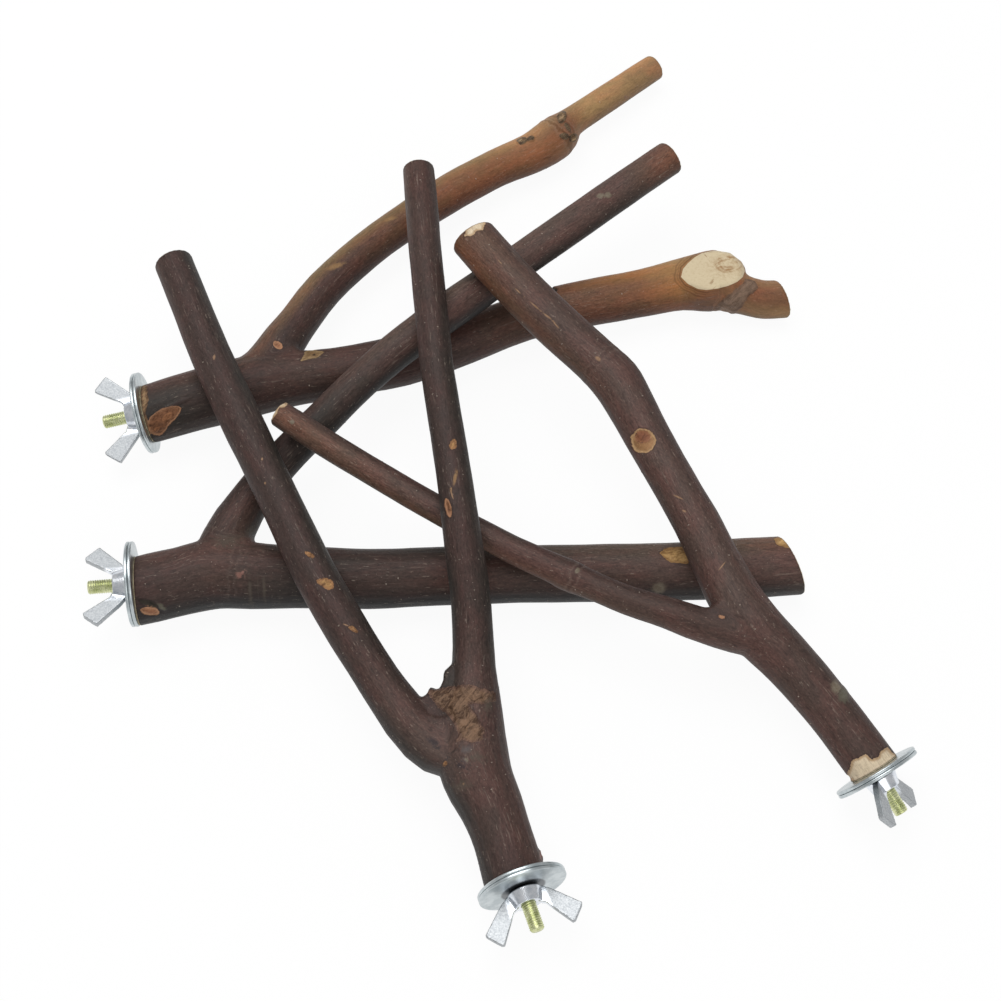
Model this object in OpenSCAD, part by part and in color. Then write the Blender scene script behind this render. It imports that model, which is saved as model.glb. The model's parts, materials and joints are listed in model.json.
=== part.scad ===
// Set of four natural-branch bird perches, lying across each other as a loose pile.
// Each perch is a forked branch with a hanger bolt, two wide washers and a wing nut.
// Millimetres, +Z up, the floor at z = 0.

/* [Far perch] */
// Length of the far perch, from its sawn butt to its furthest tip
far_l = 236.5; // [200:0.5:270]
// Thickness of its butt
far_d = 21.5; // [18:0.5:24]

/* [Left perch] */
// Length of the left perch, from its sawn butt to its furthest tip
left_l = 237; // [200:0.5:270]
// Thickness of its butt
left_d = 24.5; // [20:0.5:27]

/* [Right perch] */
// Length of the right perch, from its sawn butt to its furthest tip
right_l = 245; // [210:0.5:280]
// Thickness of its butt
right_d = 17.5; // [15:0.5:20]

/* [Front perch] */
// Length of the front perch, from its sawn butt to its furthest tip
front_l = 271; // [230:0.5:310]
// Thickness of its butt
front_d = 21; // [18:0.5:24]

/* [Fastening] */
// Diameter of the hanger bolt
bolt_d = 5; // [4:0.5:6]
// Length of bolt that is screwed into the wood
bolt_wood_l = 24; // [16:1:30]
// Length of bolt that shows beyond the wing nut's boss
bolt_free_l = 9; // [5:0.5:14]
// Outside diameter of the washers
washer_d = 30; // [26:1:34]
// Thickness of one washer
washer_t = 1.2; // [0.8:0.1:2]
// Diameter of the wing nut's collar, where it bears on the washer
nut_collar_d = 11.5; // [10:0.5:13]
// Height of the wing nut's boss
nut_boss_h = 5.4; // [4:0.2:7]
// Span of the wing nut over both wings
nut_span = 33; // [28:1:36]
// Height of the wing nut over its wings
nut_h = 15.6; // [13:0.2:18]
// Thickness of its wings
wing_t = 2.2; // [1.6:0.1:3]

/* [Pile] */
// Gap between perches that lie on each other
rest_gap = 0.3; // [0.2:0.1:1]

/* [Hidden] */

// Running clearances and small sizes of the fastening
thread_clearance = 0.05;
washer_clearance = 0.15;
pilot_clearance = 0.03;
face_gap = 0.05;
cut_overrun = 1;
bolt_chamfer = 0.6;
bolt_point_l = 6;
washer_edge = 0.25;
rim_step = 5;
nut_top_share = 0.8;
nut_foot_h = 0.8;
nut_foot_share = 0.78;

// Where the bolt's pieces stand along its axis, measured outwards from the sawn butt
outer_washer_at = washer_t + face_gap;
nut_at = outer_washer_at + washer_t + face_gap;
bolt_tip_at = nut_at + nut_boss_h + bolt_free_l;

// One wing in its own plane: shares of half the span outwards and of the nut's height upwards
wing_shares = [
    [0.20, 0.10], [0.36, 0.06], [0.52, 0.18], [1.00, 0.68], [0.97, 0.74],
    [0.76, 0.99], [0.70, 1.00], [0.33, 0.42], [0.20, 0.36]
];

// Rings and sides of the swept branches. A fork opens over some rings and sides of the stem,
// and its edge has as many points as a ring.
fork_rows = 4;
fork_half = 3;
ring_sides = 2 * (fork_rows + 2 * fork_half);
ring_steps = 3;
web_steps = 2;
web_share = 0.75;
tip_edge = 0.5;
tip_edge_share = 0.93;

// Limbs: rows of [along, aside, up, girth]. The first three are shares of the perch's
// length from the middle of its butt, the fourth is a share of the butt's thickness.
far_stem_shares = [
    [0.000, 0.000, 0.000, 1.00], [0.076, 0.016, 0.002, 1.04], [0.155, 0.032, 0.000, 1.06],
    [0.220, 0.039, 0.000, 0.97], [0.294, 0.042, 0.000, 0.88], [0.404, 0.054, 0.000, 0.89],
    [0.503, 0.081, 0.000, 0.86], [0.603, 0.112, 0.000, 0.81], [0.702, 0.128, 0.000, 0.83],
    [0.801, 0.138, 0.000, 0.85], [0.861, 0.146, 0.002, 0.92], [0.904, 0.144, 0.006, 1.07],
    [0.926, 0.144, 0.008, 1.02], [0.944, 0.127, 0.000, 0.83], [0.964, 0.119, -0.006, 0.70],
    [0.992, 0.111, -0.011, 0.69], [1.022, 0.108, -0.011, 0.68]
];
far_arm_shares = [
    [0.218, 0.110, 0.001, 0.76], [0.243, 0.144, 0.001, 0.70],
    [0.290, 0.205, 0.001, 0.68], [0.363, 0.272, 0.001, 0.665], [0.440, 0.328, 0.001, 0.67],
    [0.517, 0.377, 0.001, 0.70], [0.596, 0.418, 0.001, 0.70], [0.657, 0.442, 0.001, 0.74],
    [0.697, 0.466, 0.001, 0.81], [0.718, 0.486, 0.001, 0.72], [0.736, 0.503, 0.001, 0.56],
    [0.780, 0.532, 0.001, 0.53], [0.850, 0.577, 0.002, 0.51], [0.895, 0.606, 0.002, 0.49]
];
left_stem_shares = [
    [0.000, 0.000, 0.000, 1.00], [0.063, 0.010, 0.000, 0.99], [0.118, 0.018, -0.001, 1.02],
    [0.172, 0.010, 0.000, 0.97], [0.235, 0.003, 0.000, 0.905], [0.343, -0.009, 0.001, 0.875],
    [0.457, -0.014, 0.002, 0.85], [0.568, -0.020, 0.002, 0.835], [0.673, -0.027, 0.003, 0.84],
    [0.787, -0.034, 0.003, 0.84], [0.897, -0.038, 0.003, 0.88], [0.972, -0.039, 0.003, 0.87]
];
left_arm_shares = [
    [0.150, 0.100, -0.008, 0.68], [0.172, 0.132, -0.009, 0.61],
    [0.220, 0.187, -0.006, 0.565], [0.287, 0.248, 0.002, 0.545], [0.355, 0.307, 0.010, 0.54],
    [0.430, 0.363, 0.017, 0.565], [0.521, 0.426, 0.013, 0.58], [0.613, 0.489, 0.005, 0.545],
    [0.700, 0.549, -0.004, 0.55], [0.788, 0.609, -0.012, 0.548], [0.872, 0.664, -0.018, 0.54]
];
right_stem_shares = [
    [0.000, 0.000, 0.000, 1.00], [0.074, 0.004, 0.003, 0.975], [0.138, 0.010, 0.006, 1.005],
    [0.200, 0.020, 0.009, 1.06], [0.250, 0.030, 0.011, 1.12], [0.300, 0.030, 0.010, 1.07],
    [0.357, 0.023, 0.009, 0.985], [0.424, 0.014, 0.010, 0.93], [0.489, 0.009, 0.010, 0.905],
    [0.563, 0.003, 0.009, 0.935], [0.625, -0.004, 0.008, 1.00], [0.665, -0.006, 0.008, 1.03],
    [0.706, 0.002, 0.008, 0.97], [0.773, 0.019, 0.009, 0.98], [0.841, 0.034, 0.010, 0.98],
    [0.918, 0.045, 0.007, 0.98], [0.968, 0.050, 0.003, 0.97]
];
right_arm_shares = [
    [0.302, 0.102, 0.016, 0.68], [0.330, 0.124, 0.016, 0.63],
    [0.374, 0.160, 0.013, 0.58], [0.420, 0.191, 0.010, 0.58], [0.452, 0.212, 0.007, 0.64],
    [0.470, 0.223, 0.006, 0.60], [0.523, 0.256, 0.002, 0.565], [0.583, 0.290, 0.002, 0.55],
    [0.650, 0.326, 0.000, 0.57], [0.719, 0.361, -0.001, 0.56], [0.785, 0.393, -0.003, 0.57],
    [0.849, 0.422, -0.005, 0.56], [0.877, 0.434, -0.007, 0.54]
];
front_stem_shares = [
    [0.000, 0.000, 0.000, 1.00], [0.056, 0.000, 0.000, 0.95], [0.098, 0.002, 0.001, 1.01],
    [0.139, 0.008, 0.002, 1.12], [0.179, 0.004, 0.001, 1.14], [0.220, -0.010, 0.000, 0.96],
    [0.275, -0.027, 0.001, 0.71], [0.345, -0.046, 0.017, 0.655], [0.418, -0.059, 0.034, 0.64],
    [0.492, -0.071, 0.044, 0.59], [0.581, -0.083, 0.032, 0.577], [0.659, -0.093, 0.021, 0.571],
    [0.739, -0.107, 0.011, 0.573], [0.826, -0.123, 0.000, 0.572], [0.924, -0.142, -0.013, 0.58],
    [0.985, -0.154, -0.022, 0.56]
];
front_arm_shares = [
    [0.232, 0.071, 0.010, 0.80],
    [0.290, 0.091, 0.018, 0.714], [0.362, 0.111, 0.027, 0.718], [0.442, 0.130, 0.029, 0.712],
    [0.524, 0.144, 0.022, 0.693], [0.604, 0.157, 0.014, 0.69], [0.694, 0.172, 0.006, 0.72],
    [0.799, 0.188, -0.004, 0.702], [0.890, 0.198, -0.013, 0.68], [0.954, 0.205, -0.021, 0.68]
];

// One perch: [length, butt thickness, limbs, fork ring, wood offset, bolt turn, wing turn,
// place, turn]. Its origin is where the bolt's axis meets the sawn butt.
// A limb is [rows, slope of its sawn end], the stem first and then the arm.
// The fork ring is the ring of the stem at which the fork opens.
// The wood offset is [aside, up] from the bolt to the middle of the butt, in butt thicknesses.
// The bolt turn is [swing, tilt] in degrees, from the perch's own length.
// The place is the plan position of the origin.
// The turn is [heading, pitch, roll] in degrees.
function length_of(perch) = perch[0];
function butt_of(perch) = perch[1];
function limbs_of(perch) = perch[2];
function fork_of(perch) = perch[3];
function offset_of(perch) = perch[4] * butt_of(perch);
function bolt_turn_of(perch) = perch[5];
function wing_turn_of(perch) = perch[6];
function place_of(perch) = perch[7];
function turn_of(perch) = perch[8];

far_limbs = [[far_stem_shares, -0.36], [far_arm_shares, 0]];
left_limbs = [[left_stem_shares, -0.35], [left_arm_shares, 0]];
right_limbs = [[right_stem_shares, 0.1], [right_arm_shares, 0]];
front_limbs = [[front_stem_shares, 0], [front_arm_shares, 0]];

far_turn = [7.2, -1, -1.5];
left_turn = [5, -0.2, 9.6];
right_turn = [122, 8, -3.7];
front_turn = [106.7, 6.5, -6];

// Where a perch crosses the one under it, as [along, aside, up] in shares of each one's length.
// Each perch is placed by its own crossing, so the pile keeps together when a length changes.
far_under_shares = [0.447, 0.061, 0.000];
left_over_shares = [0.462, 0.378, 0.006];
left_under_shares = [0.563, 0.446, -0.001];
right_over_shares = [0.927, 0.046, 0.006];
right_under_shares = [0.600, 0.299, 0.002];
front_over_shares = [0.470, -0.062, 0.043];
function spot(shares, perch_l, turn) = let (w = turned(shares * perch_l, turn)) [w.x, w.y];
far_place = [0, 0];
left_place = far_place
    + spot(far_under_shares, far_l, far_turn) - spot(left_over_shares, left_l, left_turn);
right_place = left_place
    + spot(left_under_shares, left_l, left_turn) - spot(right_over_shares, right_l, right_turn);
front_place = right_place
    + spot(right_under_shares, right_l, right_turn) - spot(front_over_shares, front_l, front_turn);

far_perch = [
    far_l, far_d, far_limbs, 6, [-0.04, 0], [2.3, 9.5], 73, far_place, far_turn
];
left_perch = [
    left_l, left_d, left_limbs, 5, [-0.08, -0.1], [0.2, -0.7], 110, left_place, left_turn
];
right_perch = [
    right_l, right_d, right_limbs, 11, [0, 0], [0, 8.4], 39, right_place, right_turn
];
front_perch = [
    front_l, front_d, front_limbs, 10, [0.07, 0], [3, -9], 86, front_place, front_turn
];

// The old pruning cut near the far perch's end, in its own frame: where it is, how it faces
// and how far the removed block reaches
far_cut_shares = [0.908, 0.142, 0.044];
far_cut_turn = [10, -0.5, 0];
far_cut_l_share = 0.07;
far_cut_reach_share = 0.2;

// Small vector helpers
function unit(v) = v / norm(v);
function turned(v, t) =
    let (a = [v.x, v.y * cos(t[2]) - v.z * sin(t[2]), v.y * sin(t[2]) + v.z * cos(t[2])])
    let (b = [a.x * cos(t[1]) - a.z * sin(t[1]), a.y, a.x * sin(t[1]) + a.z * cos(t[1])])
    [b.x * cos(t[0]) - b.y * sin(t[0]), b.x * sin(t[0]) + b.y * cos(t[0]), b.z];
// A point given along, beside and above the bolt's axis, in the perch's frame, and the reverse
function from_bolt(p, turn) =
    let (x = p.x * cos(turn[1]) - p.z * sin(turn[1]))
    [x * cos(turn[0]) - p.y * sin(turn[0]), x * sin(turn[0]) + p.y * cos(turn[0]),
        p.x * sin(turn[1]) + p.z * cos(turn[1])];
function on_bolt(p, turn) =
    let (x = p.x * cos(turn[0]) + p.y * sin(turn[0]))
    [x * cos(turn[1]) + p.z * sin(turn[1]), p.y * cos(turn[0]) - p.x * sin(turn[0]),
        p.z * cos(turn[1]) - x * sin(turn[1])];
function bolt_axis(perch) = from_bolt([1, 0, 0], bolt_turn_of(perch));

// A smooth curve through the rows of a limb, with its radius as the fourth value
function row(rows, i) =
    i < 0 ? 2 * rows[0] - rows[1] :
    i >= len(rows) ? 2 * rows[len(rows) - 1] - rows[len(rows) - 2] : rows[i];
function between(a, b, c, d, t) =
    0.5 * (2 * b + (c - a) * t + (2 * a - 5 * b + 4 * c - d) * t * t + (3 * b - a - 3 * c + d) * t * t * t);
function smooth(rows, steps) = [
    for (i = [0:len(rows) - 2], k = [0:steps - 1])
        between(row(rows, i - 1), row(rows, i), row(rows, i + 1), row(rows, i + 2), k / steps),
    rows[len(rows) - 1]
];
function real_size(p, perch) =
    [p[0] * length_of(perch), p[1] * length_of(perch), p[2] * length_of(perch), p[3] * butt_of(perch) / 2];
function wood_offset(perch) =
    from_bolt([0, offset_of(perch)[0], offset_of(perch)[1]], bolt_turn_of(perch));
function limb_line(perch, limb) =
    let (o = wood_offset(perch))
    [for (p = smooth(limb[0], ring_steps)) real_size(p, perch) + [o.x, o.y, o.z, 0]];
function place(p) = [p[0], p[1], p[2]];
function heading(line, i, first) =
    i == 0 && len(first) == 3 ? first :
    unit(place(line[min(i + 1, len(line) - 1)]) - place(line[max(i - 1, 0)]));

// One ring of points round the limb, slanted near a sawn end
function ring(line, i, first, slope, swell, ahead) =
    let (t = heading(line, i, first))
    let (aside = unit(cross([0, 0, 1], t)))
    let (up = cross(t, aside))
    let (r = line[i][3] * swell)
    let (to_end = norm(place(line[len(line) - 1]) - place(line[i])))
    let (slant = slope * max(0, 1 - to_end / (2 * line[i][3])))
    [for (k = [0:ring_sides - 1])
        let (a = 360 * k / ring_sides)
        place(line[i]) + r * cos(a) * aside + r * sin(a) * up + (r * slant * cos(a) + ahead) * t];

// The rings of a limb, with its edge broken at the sawn end
function rings(perch, limb, first) =
    let (line = limb_line(perch, limb))
    let (last = len(line) - 1)
    concat(
        [for (i = [0:last]) ring(line, i, first, limb[1], 1, 0)],
        [ring(line, last, first, limb[1], tip_edge_share, tip_edge)]
    );

// The fork's edge in the stem, as [ring, side], in the order of the arm's own sides
function fork_edge(at) = [
    for (k = [0:fork_half]) [at, k],
    for (i = [1:fork_rows]) [at + i, fork_half],
    for (k = [fork_half - 1:-1:-fork_half]) [at + fork_rows, k],
    for (i = [fork_rows - 1:-1:0]) [at + i, -fork_half],
    for (k = [1 - fork_half:-1]) [at, k]
];
function point_number(e) = e[0] * ring_sides + (e[1] + ring_sides) % ring_sides;

// Rings that lead from the fork's edge into the arm
function web(edge_points, first_ring, t) = [
    for (s = [1:web_steps], j = [0:ring_sides - 1])
        let (p = edge_points[j])
        let (q = first_ring[j])
        let (bend = q - ((q - p) * t) * web_share * t)
        let (w = s / (web_steps + 1))
        (1 - w) * (1 - w) * p + 2 * w * (1 - w) * bend + w * w * q
];

// Faces between two rings, given as their points' numbers
function band(low, high, sides) = [
    for (k = sides)
        let (n = (k + 1) % ring_sides)
        each [[low[k], high[n], low[n]], [low[k], high[k], high[n]]]
];
function ring_numbers(i) = [for (k = [0:ring_sides - 1]) i * ring_sides + k];
all_sides = [0:ring_sides - 1];
closed_sides = [fork_half:ring_sides - fork_half - 1];

// The whole branch as one closed skin: the stem's rings, the web and the arm's rings. Its
// points are turned so that the butt stands square to the bolt.
module wood(perch) {
    stem = rings(perch, limbs_of(perch)[0], bolt_axis(perch));
    arm = rings(perch, limbs_of(perch)[1], []);
    arm_line = limb_line(perch, limbs_of(perch)[1]);
    stem_points = [for (loop = stem, p = loop) p];
    at = fork_of(perch);
    edge = [for (e = fork_edge(at)) point_number(e)];
    edge_points = [for (n = edge) stem_points[n]];
    web_points = web(edge_points, arm[0], heading(arm_line, 0, []));
    arm_points = [for (loop = arm, p = loop) p];
    points = [for (p = concat(stem_points, web_points, arm_points)) on_bolt(p, bolt_turn_of(perch))];
    stem_count = len(stem);
    ring_count = stem_count + web_steps + len(arm);
    stem_faces = [
        for (i = [0:stem_count - 2])
            each band(
                ring_numbers(i), ring_numbers(i + 1),
                i >= at && i < at + fork_rows ? closed_sides : all_sides
            )
    ];
    arm_faces = concat(
        band(edge, ring_numbers(stem_count), all_sides),
        [for (i = [stem_count:ring_count - 2]) each band(ring_numbers(i), ring_numbers(i + 1), all_sides)]
    );
    butt = [for (k = [1:ring_sides - 2]) [0, k, k + 1]];
    tips = [
        for (i = [stem_count - 1, ring_count - 1], k = [1:ring_sides - 2])
            [i * ring_sides, i * ring_sides + k + 1, i * ring_sides + k]
    ];
    polyhedron(points = points, faces = concat(stem_faces, arm_faces, butt, tips));
}

// How far each perch is lifted so that it rests on the floor and on those under it
function world_line(perch, limb) = [
    for (p = limb_line(perch, limb))
        let (w = turned(place(p), turn_of(perch)))
        [w.x + place_of(perch).x, w.y + place_of(perch).y, w.z, p[3]]
];
function world_lines(perch) = [for (limb = limbs_of(perch)) world_line(perch, limb)];
function rim_drop(perch) =
    let (axis = turned(bolt_axis(perch), turn_of(perch)))
    let (flat = sqrt(1 - axis.z * axis.z))
    washer_d / 2 * flat + (outer_washer_at + washer_t) * max(0, axis.z);
function wing_points(perch) = [
    for (s = wing_shares, side = [-1, 1], face = [-1, 1])
        let (r = side * s[0] * nut_span / 2)
        let (w = face * wing_t / 2)
        let (a = wing_turn_of(perch))
        let (out = nut_at + s[1] * nut_h)
        let (p = [-out, r * sin(a) + w * cos(a), r * cos(a) - w * sin(a)])
        turned(from_bolt(p, bolt_turn_of(perch)), turn_of(perch))
];
function floor_lift(perch, lines) = max(
    rim_drop(perch),
    max([for (p = wing_points(perch)) -p.z]),
    max([for (line = lines, p = line) p[3] - p.z])
);
// Height that one stretch of a limb needs above a stretch of another that it crosses
function crossing_lift(a, b, c, d) =
    let (u = [b.x - a.x, b.y - a.y, b.z - a.z])
    let (v = [d.x - c.x, d.y - c.y, d.z - c.z])
    let (w = [c.x - a.x, c.y - a.y])
    let (area = u.x * v.y - u.y * v.x)
    let (s = (w.x * v.y - w.y * v.x) / area)
    let (t = (w.x * u.y - w.y * u.x) / area)
    (area == 0 || s < 0 || s > 1 || t < 0 || t > 1) ? -front_l :
    let (upright = abs(area) / norm(cross(u, v)))
    let (radii = a[3] + s * (b[3] - a[3]) + c[3] + t * (d[3] - c[3]))
    c.z + t * v.z - a.z - s * u.z + (radii + rest_gap) / upright;
// Height that one point of a limb needs above a point of another
function point_lift(a, c) =
    let (gap = norm([c.x - a.x, c.y - a.y]))
    let (reach = a[3] + c[3] + rest_gap)
    gap >= reach ? -front_l : c.z - a.z + sqrt(reach * reach - gap * gap);
function line_lift(upper, lower) = max([
    for (i = [0:len(upper) - 2], k = [0:len(lower) - 2])
        let (far_apart = norm([upper[i].x - lower[k].x, upper[i].y - lower[k].y]))
        far_apart > butt_reach ? -front_l :
        max(
            crossing_lift(upper[i], upper[i + 1], lower[k], lower[k + 1]),
            point_lift(upper[i], lower[k]),
            point_lift(upper[i + 1], lower[k + 1])
        )
]);
butt_reach = 2 * max(far_d, left_d, right_d, front_d);
function raised(lines, lift) = [for (line = lines) [for (p = line) [p.x, p.y, p.z + lift, p[3]]]];
function lift_over(lines, under) =
    max([for (upper = lines, lower = under) line_lift(upper, lower)]);

far_lines = world_lines(far_perch);
left_lines = world_lines(left_perch);
right_lines = world_lines(right_perch);
front_lines = world_lines(front_perch);
far_lift = floor_lift(far_perch, far_lines);
far_raised = raised(far_lines, far_lift);
left_lift = max(floor_lift(left_perch, left_lines), lift_over(left_lines, far_raised));
left_raised = raised(left_lines, left_lift);
right_lift = max(
    floor_lift(right_perch, right_lines),
    lift_over(right_lines, concat(far_raised, left_raised))
);
right_raised = raised(right_lines, right_lift);
front_lift = max(
    floor_lift(front_perch, front_lines),
    lift_over(front_lines, concat(far_raised, left_raised, right_raised))
);

// The pile is centred on the origin in plan, by the outlines of all its pieces
function seen(p, perch, lift) =
    let (w = turned(p, turn_of(perch)))
    [w.x + place_of(perch).x, w.y + place_of(perch).y, w.z + lift];
function rim_points(perch) = [
    for (a = [0:rim_step:360 - rim_step], out = [0, outer_washer_at + washer_t])
        from_bolt([-out, washer_d / 2 * cos(a), washer_d / 2 * sin(a)], bolt_turn_of(perch))
];
function skin_points(perch) = [
    for (i = [0, 1], loop = rings(perch, limbs_of(perch)[i], i == 0 ? bolt_axis(perch) : []), p = loop) p
];
function tip_points(perch) = [
    for (a = [0:rim_step:360 - rim_step])
        let (r = bolt_d / 2 - bolt_chamfer)
        from_bolt([-bolt_tip_at, r * cos(a), r * sin(a)], bolt_turn_of(perch))
];
function outline(perch) = [
    for (p = concat(skin_points(perch), rim_points(perch), tip_points(perch))) seen(p, perch, 0),
    for (p = wing_points(perch)) [p.x + place_of(perch).x, p.y + place_of(perch).y, p.z]
];
all_points = concat(outline(far_perch), outline(left_perch), outline(right_perch), outline(front_perch));
pile_x = [for (p = all_points) p.x];
pile_y = [for (p = all_points) p.y];
pile_centre = [(min(pile_x) + max(pile_x)) / 2, (min(pile_y) + max(pile_y)) / 2];

// Frames: a whole perch in the pile, and its fastening with +Z outwards along the bolt
module seated(perch, lift) {
    turn = turn_of(perch);
    spot = place_of(perch) - pile_centre;
    translate([spot.x, spot.y, lift]) rotate([turn[2], -turn[1], turn[0]]) children();
}
module tilted(perch) {
    turn = bolt_turn_of(perch);
    rotate([0, -turn[1], turn[0]]) children();
}
module outwards() {
    rotate([0, -90, 0]) children();
}
module along_bolt(perch) {
    tilted(perch) outwards() children();
}

// Pieces, each in its perch's own frame
module pilot_bore() {
    outwards() translate([0, 0, -bolt_wood_l - pilot_clearance])
        cylinder(d = bolt_d + 2 * pilot_clearance, h = bolt_wood_l + cut_overrun, $fn = 48);
}
module branch(perch) {
    tilted(perch) difference() {
        wood(perch);
        pilot_bore();
    }
}
module pruned_off() {
    reach = far_cut_reach_share * far_l;
    translate(far_cut_shares * far_l) rotate(far_cut_turn)
        translate([-reach, -reach, 0]) cube([reach + far_cut_l_share * far_l, 2 * reach, reach]);
}
module hanger_bolt(perch) {
    along_bolt(perch) {
        translate([0, 0, bolt_point_l - bolt_wood_l])
            cylinder(d = bolt_d, h = bolt_wood_l - bolt_point_l + bolt_tip_at - bolt_chamfer, $fn = 48);
        translate([0, 0, -bolt_wood_l])
            cylinder(d1 = bolt_chamfer, d2 = bolt_d, h = bolt_point_l, $fn = 48);
        translate([0, 0, bolt_tip_at - bolt_chamfer])
            cylinder(d1 = bolt_d, d2 = bolt_d - 2 * bolt_chamfer, h = bolt_chamfer, $fn = 48);
    }
}
module washer() {
    hole = bolt_d / 2 + washer_clearance;
    rotate_extrude($fn = 96) polygon([
        [hole, 0], [washer_d / 2 - washer_edge, 0], [washer_d / 2, washer_edge],
        [washer_d / 2, washer_t - washer_edge], [washer_d / 2 - washer_edge, washer_t], [hole, washer_t]
    ]);
}
module wing() {
    points = [for (s = wing_shares) [s[0] * nut_span / 2, s[1] * nut_h]];
    rotate([90, 0, 0]) translate([0, 0, -wing_t / 2]) linear_extrude(wing_t) polygon(points);
}
module wing_nut(perch) {
    collar = nut_collar_d / 2;
    rotate([0, 0, wing_turn_of(perch)]) difference() {
        union() {
            rotate_extrude($fn = 96) polygon([
                [0, 0], [collar * nut_foot_share, 0], [collar, nut_foot_h],
                [collar * nut_top_share, nut_boss_h], [0, nut_boss_h]
            ]);
            wing();
            mirror([1, 0, 0]) wing();
        }
        translate([0, 0, -cut_overrun])
            cylinder(r = bolt_d / 2 + thread_clearance, h = nut_h + 2 * cut_overrun, $fn = 48);
    }
}

// One set of sub-parts for each perch
module branch_node(perch, lift, wood) {
    color(wood) seated(perch, lift) branch(perch);
}
module far_branch_node() {
    color("peru") seated(far_perch, far_lift) difference() {
        branch(far_perch);
        pruned_off();
    }
}
module hanger_bolt_node(perch, lift) {
    color("darkkhaki") seated(perch, lift) hanger_bolt(perch);
}
module inner_washer_node(perch, lift) {
    color("silver") seated(perch, lift) along_bolt(perch) washer();
}
module outer_washer_node(perch, lift) {
    color("silver") seated(perch, lift) along_bolt(perch)
        translate([0, 0, outer_washer_at]) washer();
}
module wing_nut_node(perch, lift) {
    color("lightsteelblue") seated(perch, lift) along_bolt(perch)
        translate([0, 0, nut_at]) wing_nut(perch);
}

far_branch_node();  // far_branch
hanger_bolt_node(far_perch, far_lift);  // far_hanger_bolt
inner_washer_node(far_perch, far_lift);  // far_inner_washer
outer_washer_node(far_perch, far_lift);  // far_outer_washer
wing_nut_node(far_perch, far_lift);  // far_wing_nut
branch_node(left_perch, left_lift, "saddlebrown");  // left_branch
hanger_bolt_node(left_perch, left_lift);  // left_hanger_bolt
inner_washer_node(left_perch, left_lift);  // left_inner_washer
outer_washer_node(left_perch, left_lift);  // left_outer_washer
wing_nut_node(left_perch, left_lift);  // left_wing_nut
branch_node(right_perch, right_lift, "sienna");  // right_branch
hanger_bolt_node(right_perch, right_lift);  // right_hanger_bolt
inner_washer_node(right_perch, right_lift);  // right_inner_washer
outer_washer_node(right_perch, right_lift);  // right_outer_washer
wing_nut_node(right_perch, right_lift);  // right_wing_nut
branch_node(front_perch, front_lift, "saddlebrown");  // front_branch
hanger_bolt_node(front_perch, front_lift);  // front_hanger_bolt
inner_washer_node(front_perch, front_lift);  // front_inner_washer
outer_washer_node(front_perch, front_lift);  // front_outer_washer
wing_nut_node(front_perch, front_lift);  // front_wing_nut
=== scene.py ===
import contextlib
import json
import math

import bmesh
import bpy
import numpy as np
from mathutils import Euler, Matrix, Vector, noise
from mathutils.bvhtree import BVHTree


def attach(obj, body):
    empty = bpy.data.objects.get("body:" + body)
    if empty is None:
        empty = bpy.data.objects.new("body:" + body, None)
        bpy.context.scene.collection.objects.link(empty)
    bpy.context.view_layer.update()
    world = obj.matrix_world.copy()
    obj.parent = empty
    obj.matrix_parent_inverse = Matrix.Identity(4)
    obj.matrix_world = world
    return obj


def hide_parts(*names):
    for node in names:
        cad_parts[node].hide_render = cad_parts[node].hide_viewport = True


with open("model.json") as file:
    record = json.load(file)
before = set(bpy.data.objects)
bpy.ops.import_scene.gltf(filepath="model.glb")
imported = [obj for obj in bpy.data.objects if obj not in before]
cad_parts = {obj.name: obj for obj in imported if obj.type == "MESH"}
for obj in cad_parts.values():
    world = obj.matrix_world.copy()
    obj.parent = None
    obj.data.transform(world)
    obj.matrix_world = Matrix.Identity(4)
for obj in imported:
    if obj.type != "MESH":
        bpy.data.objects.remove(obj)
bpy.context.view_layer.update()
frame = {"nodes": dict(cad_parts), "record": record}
mm = 0.001
print("frame loaded:", len(frame["nodes"]), "nodes")


def newPiece(name, data):
    piece = bpy.data.objects.new(name, data)
    bpy.context.scene.collection.objects.link(piece)
    return piece


def newAimed(name, data, place, way):  # a camera or lamp at a place, looking along way
    piece = newPiece(name, data)
    piece.location = place
    piece.rotation_mode = "QUATERNION"
    piece.rotation_quaternion = way.to_track_quat("-Z", "Y")
    return piece


# the camera, fitted to the picture
view = {
    "elevation": 62.0,  # degrees above the floor
    "distance": 0.717,
    "focal": 2000.0,  # in pixels of the picture
    "picture": 1001,
    "target": (0.00429, -0.02305, 0.015),
    "sensor": 36.0,
    "reach": (0.6, 0.82),  # metres from the eye between which the pile lies
}
tilt = math.radians(view["elevation"])
sight = Vector((0.0, math.cos(tilt), -math.sin(tilt)))
pictureUp = Vector((0.0, math.sin(tilt), math.cos(tilt)))
eye = Vector(view["target"]) - view["distance"] * sight
sightRow, upRow = np.array(sight), np.array(pictureUp)

cameraData = bpy.data.cameras.new("camera")
cameraData.sensor_width = view["sensor"]
cameraData.lens = view["focal"] / view["picture"] * view["sensor"]
bpy.context.scene.camera = newAimed("camera", cameraData, eye, sight)


def pixelRay(x, y):  # direction from the eye through a pixel of the picture
    half = view["picture"] / 2
    return (sight + Vector((1, 0, 0)) * ((x - half) / view["focal"])
            - pictureUp * ((y - half) / view["focal"])).normalized()


def shade(red, green, blue, alpha=1.0):  # a colour as seen on a screen, 0 to 255, made linear
    def linear(c):
        c = c / 255
        return c / 12.92 if c <= 0.04045 else ((c + 0.055) / 1.055) ** 2.4
    return (linear(red), linear(green), linear(blue), alpha)


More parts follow.
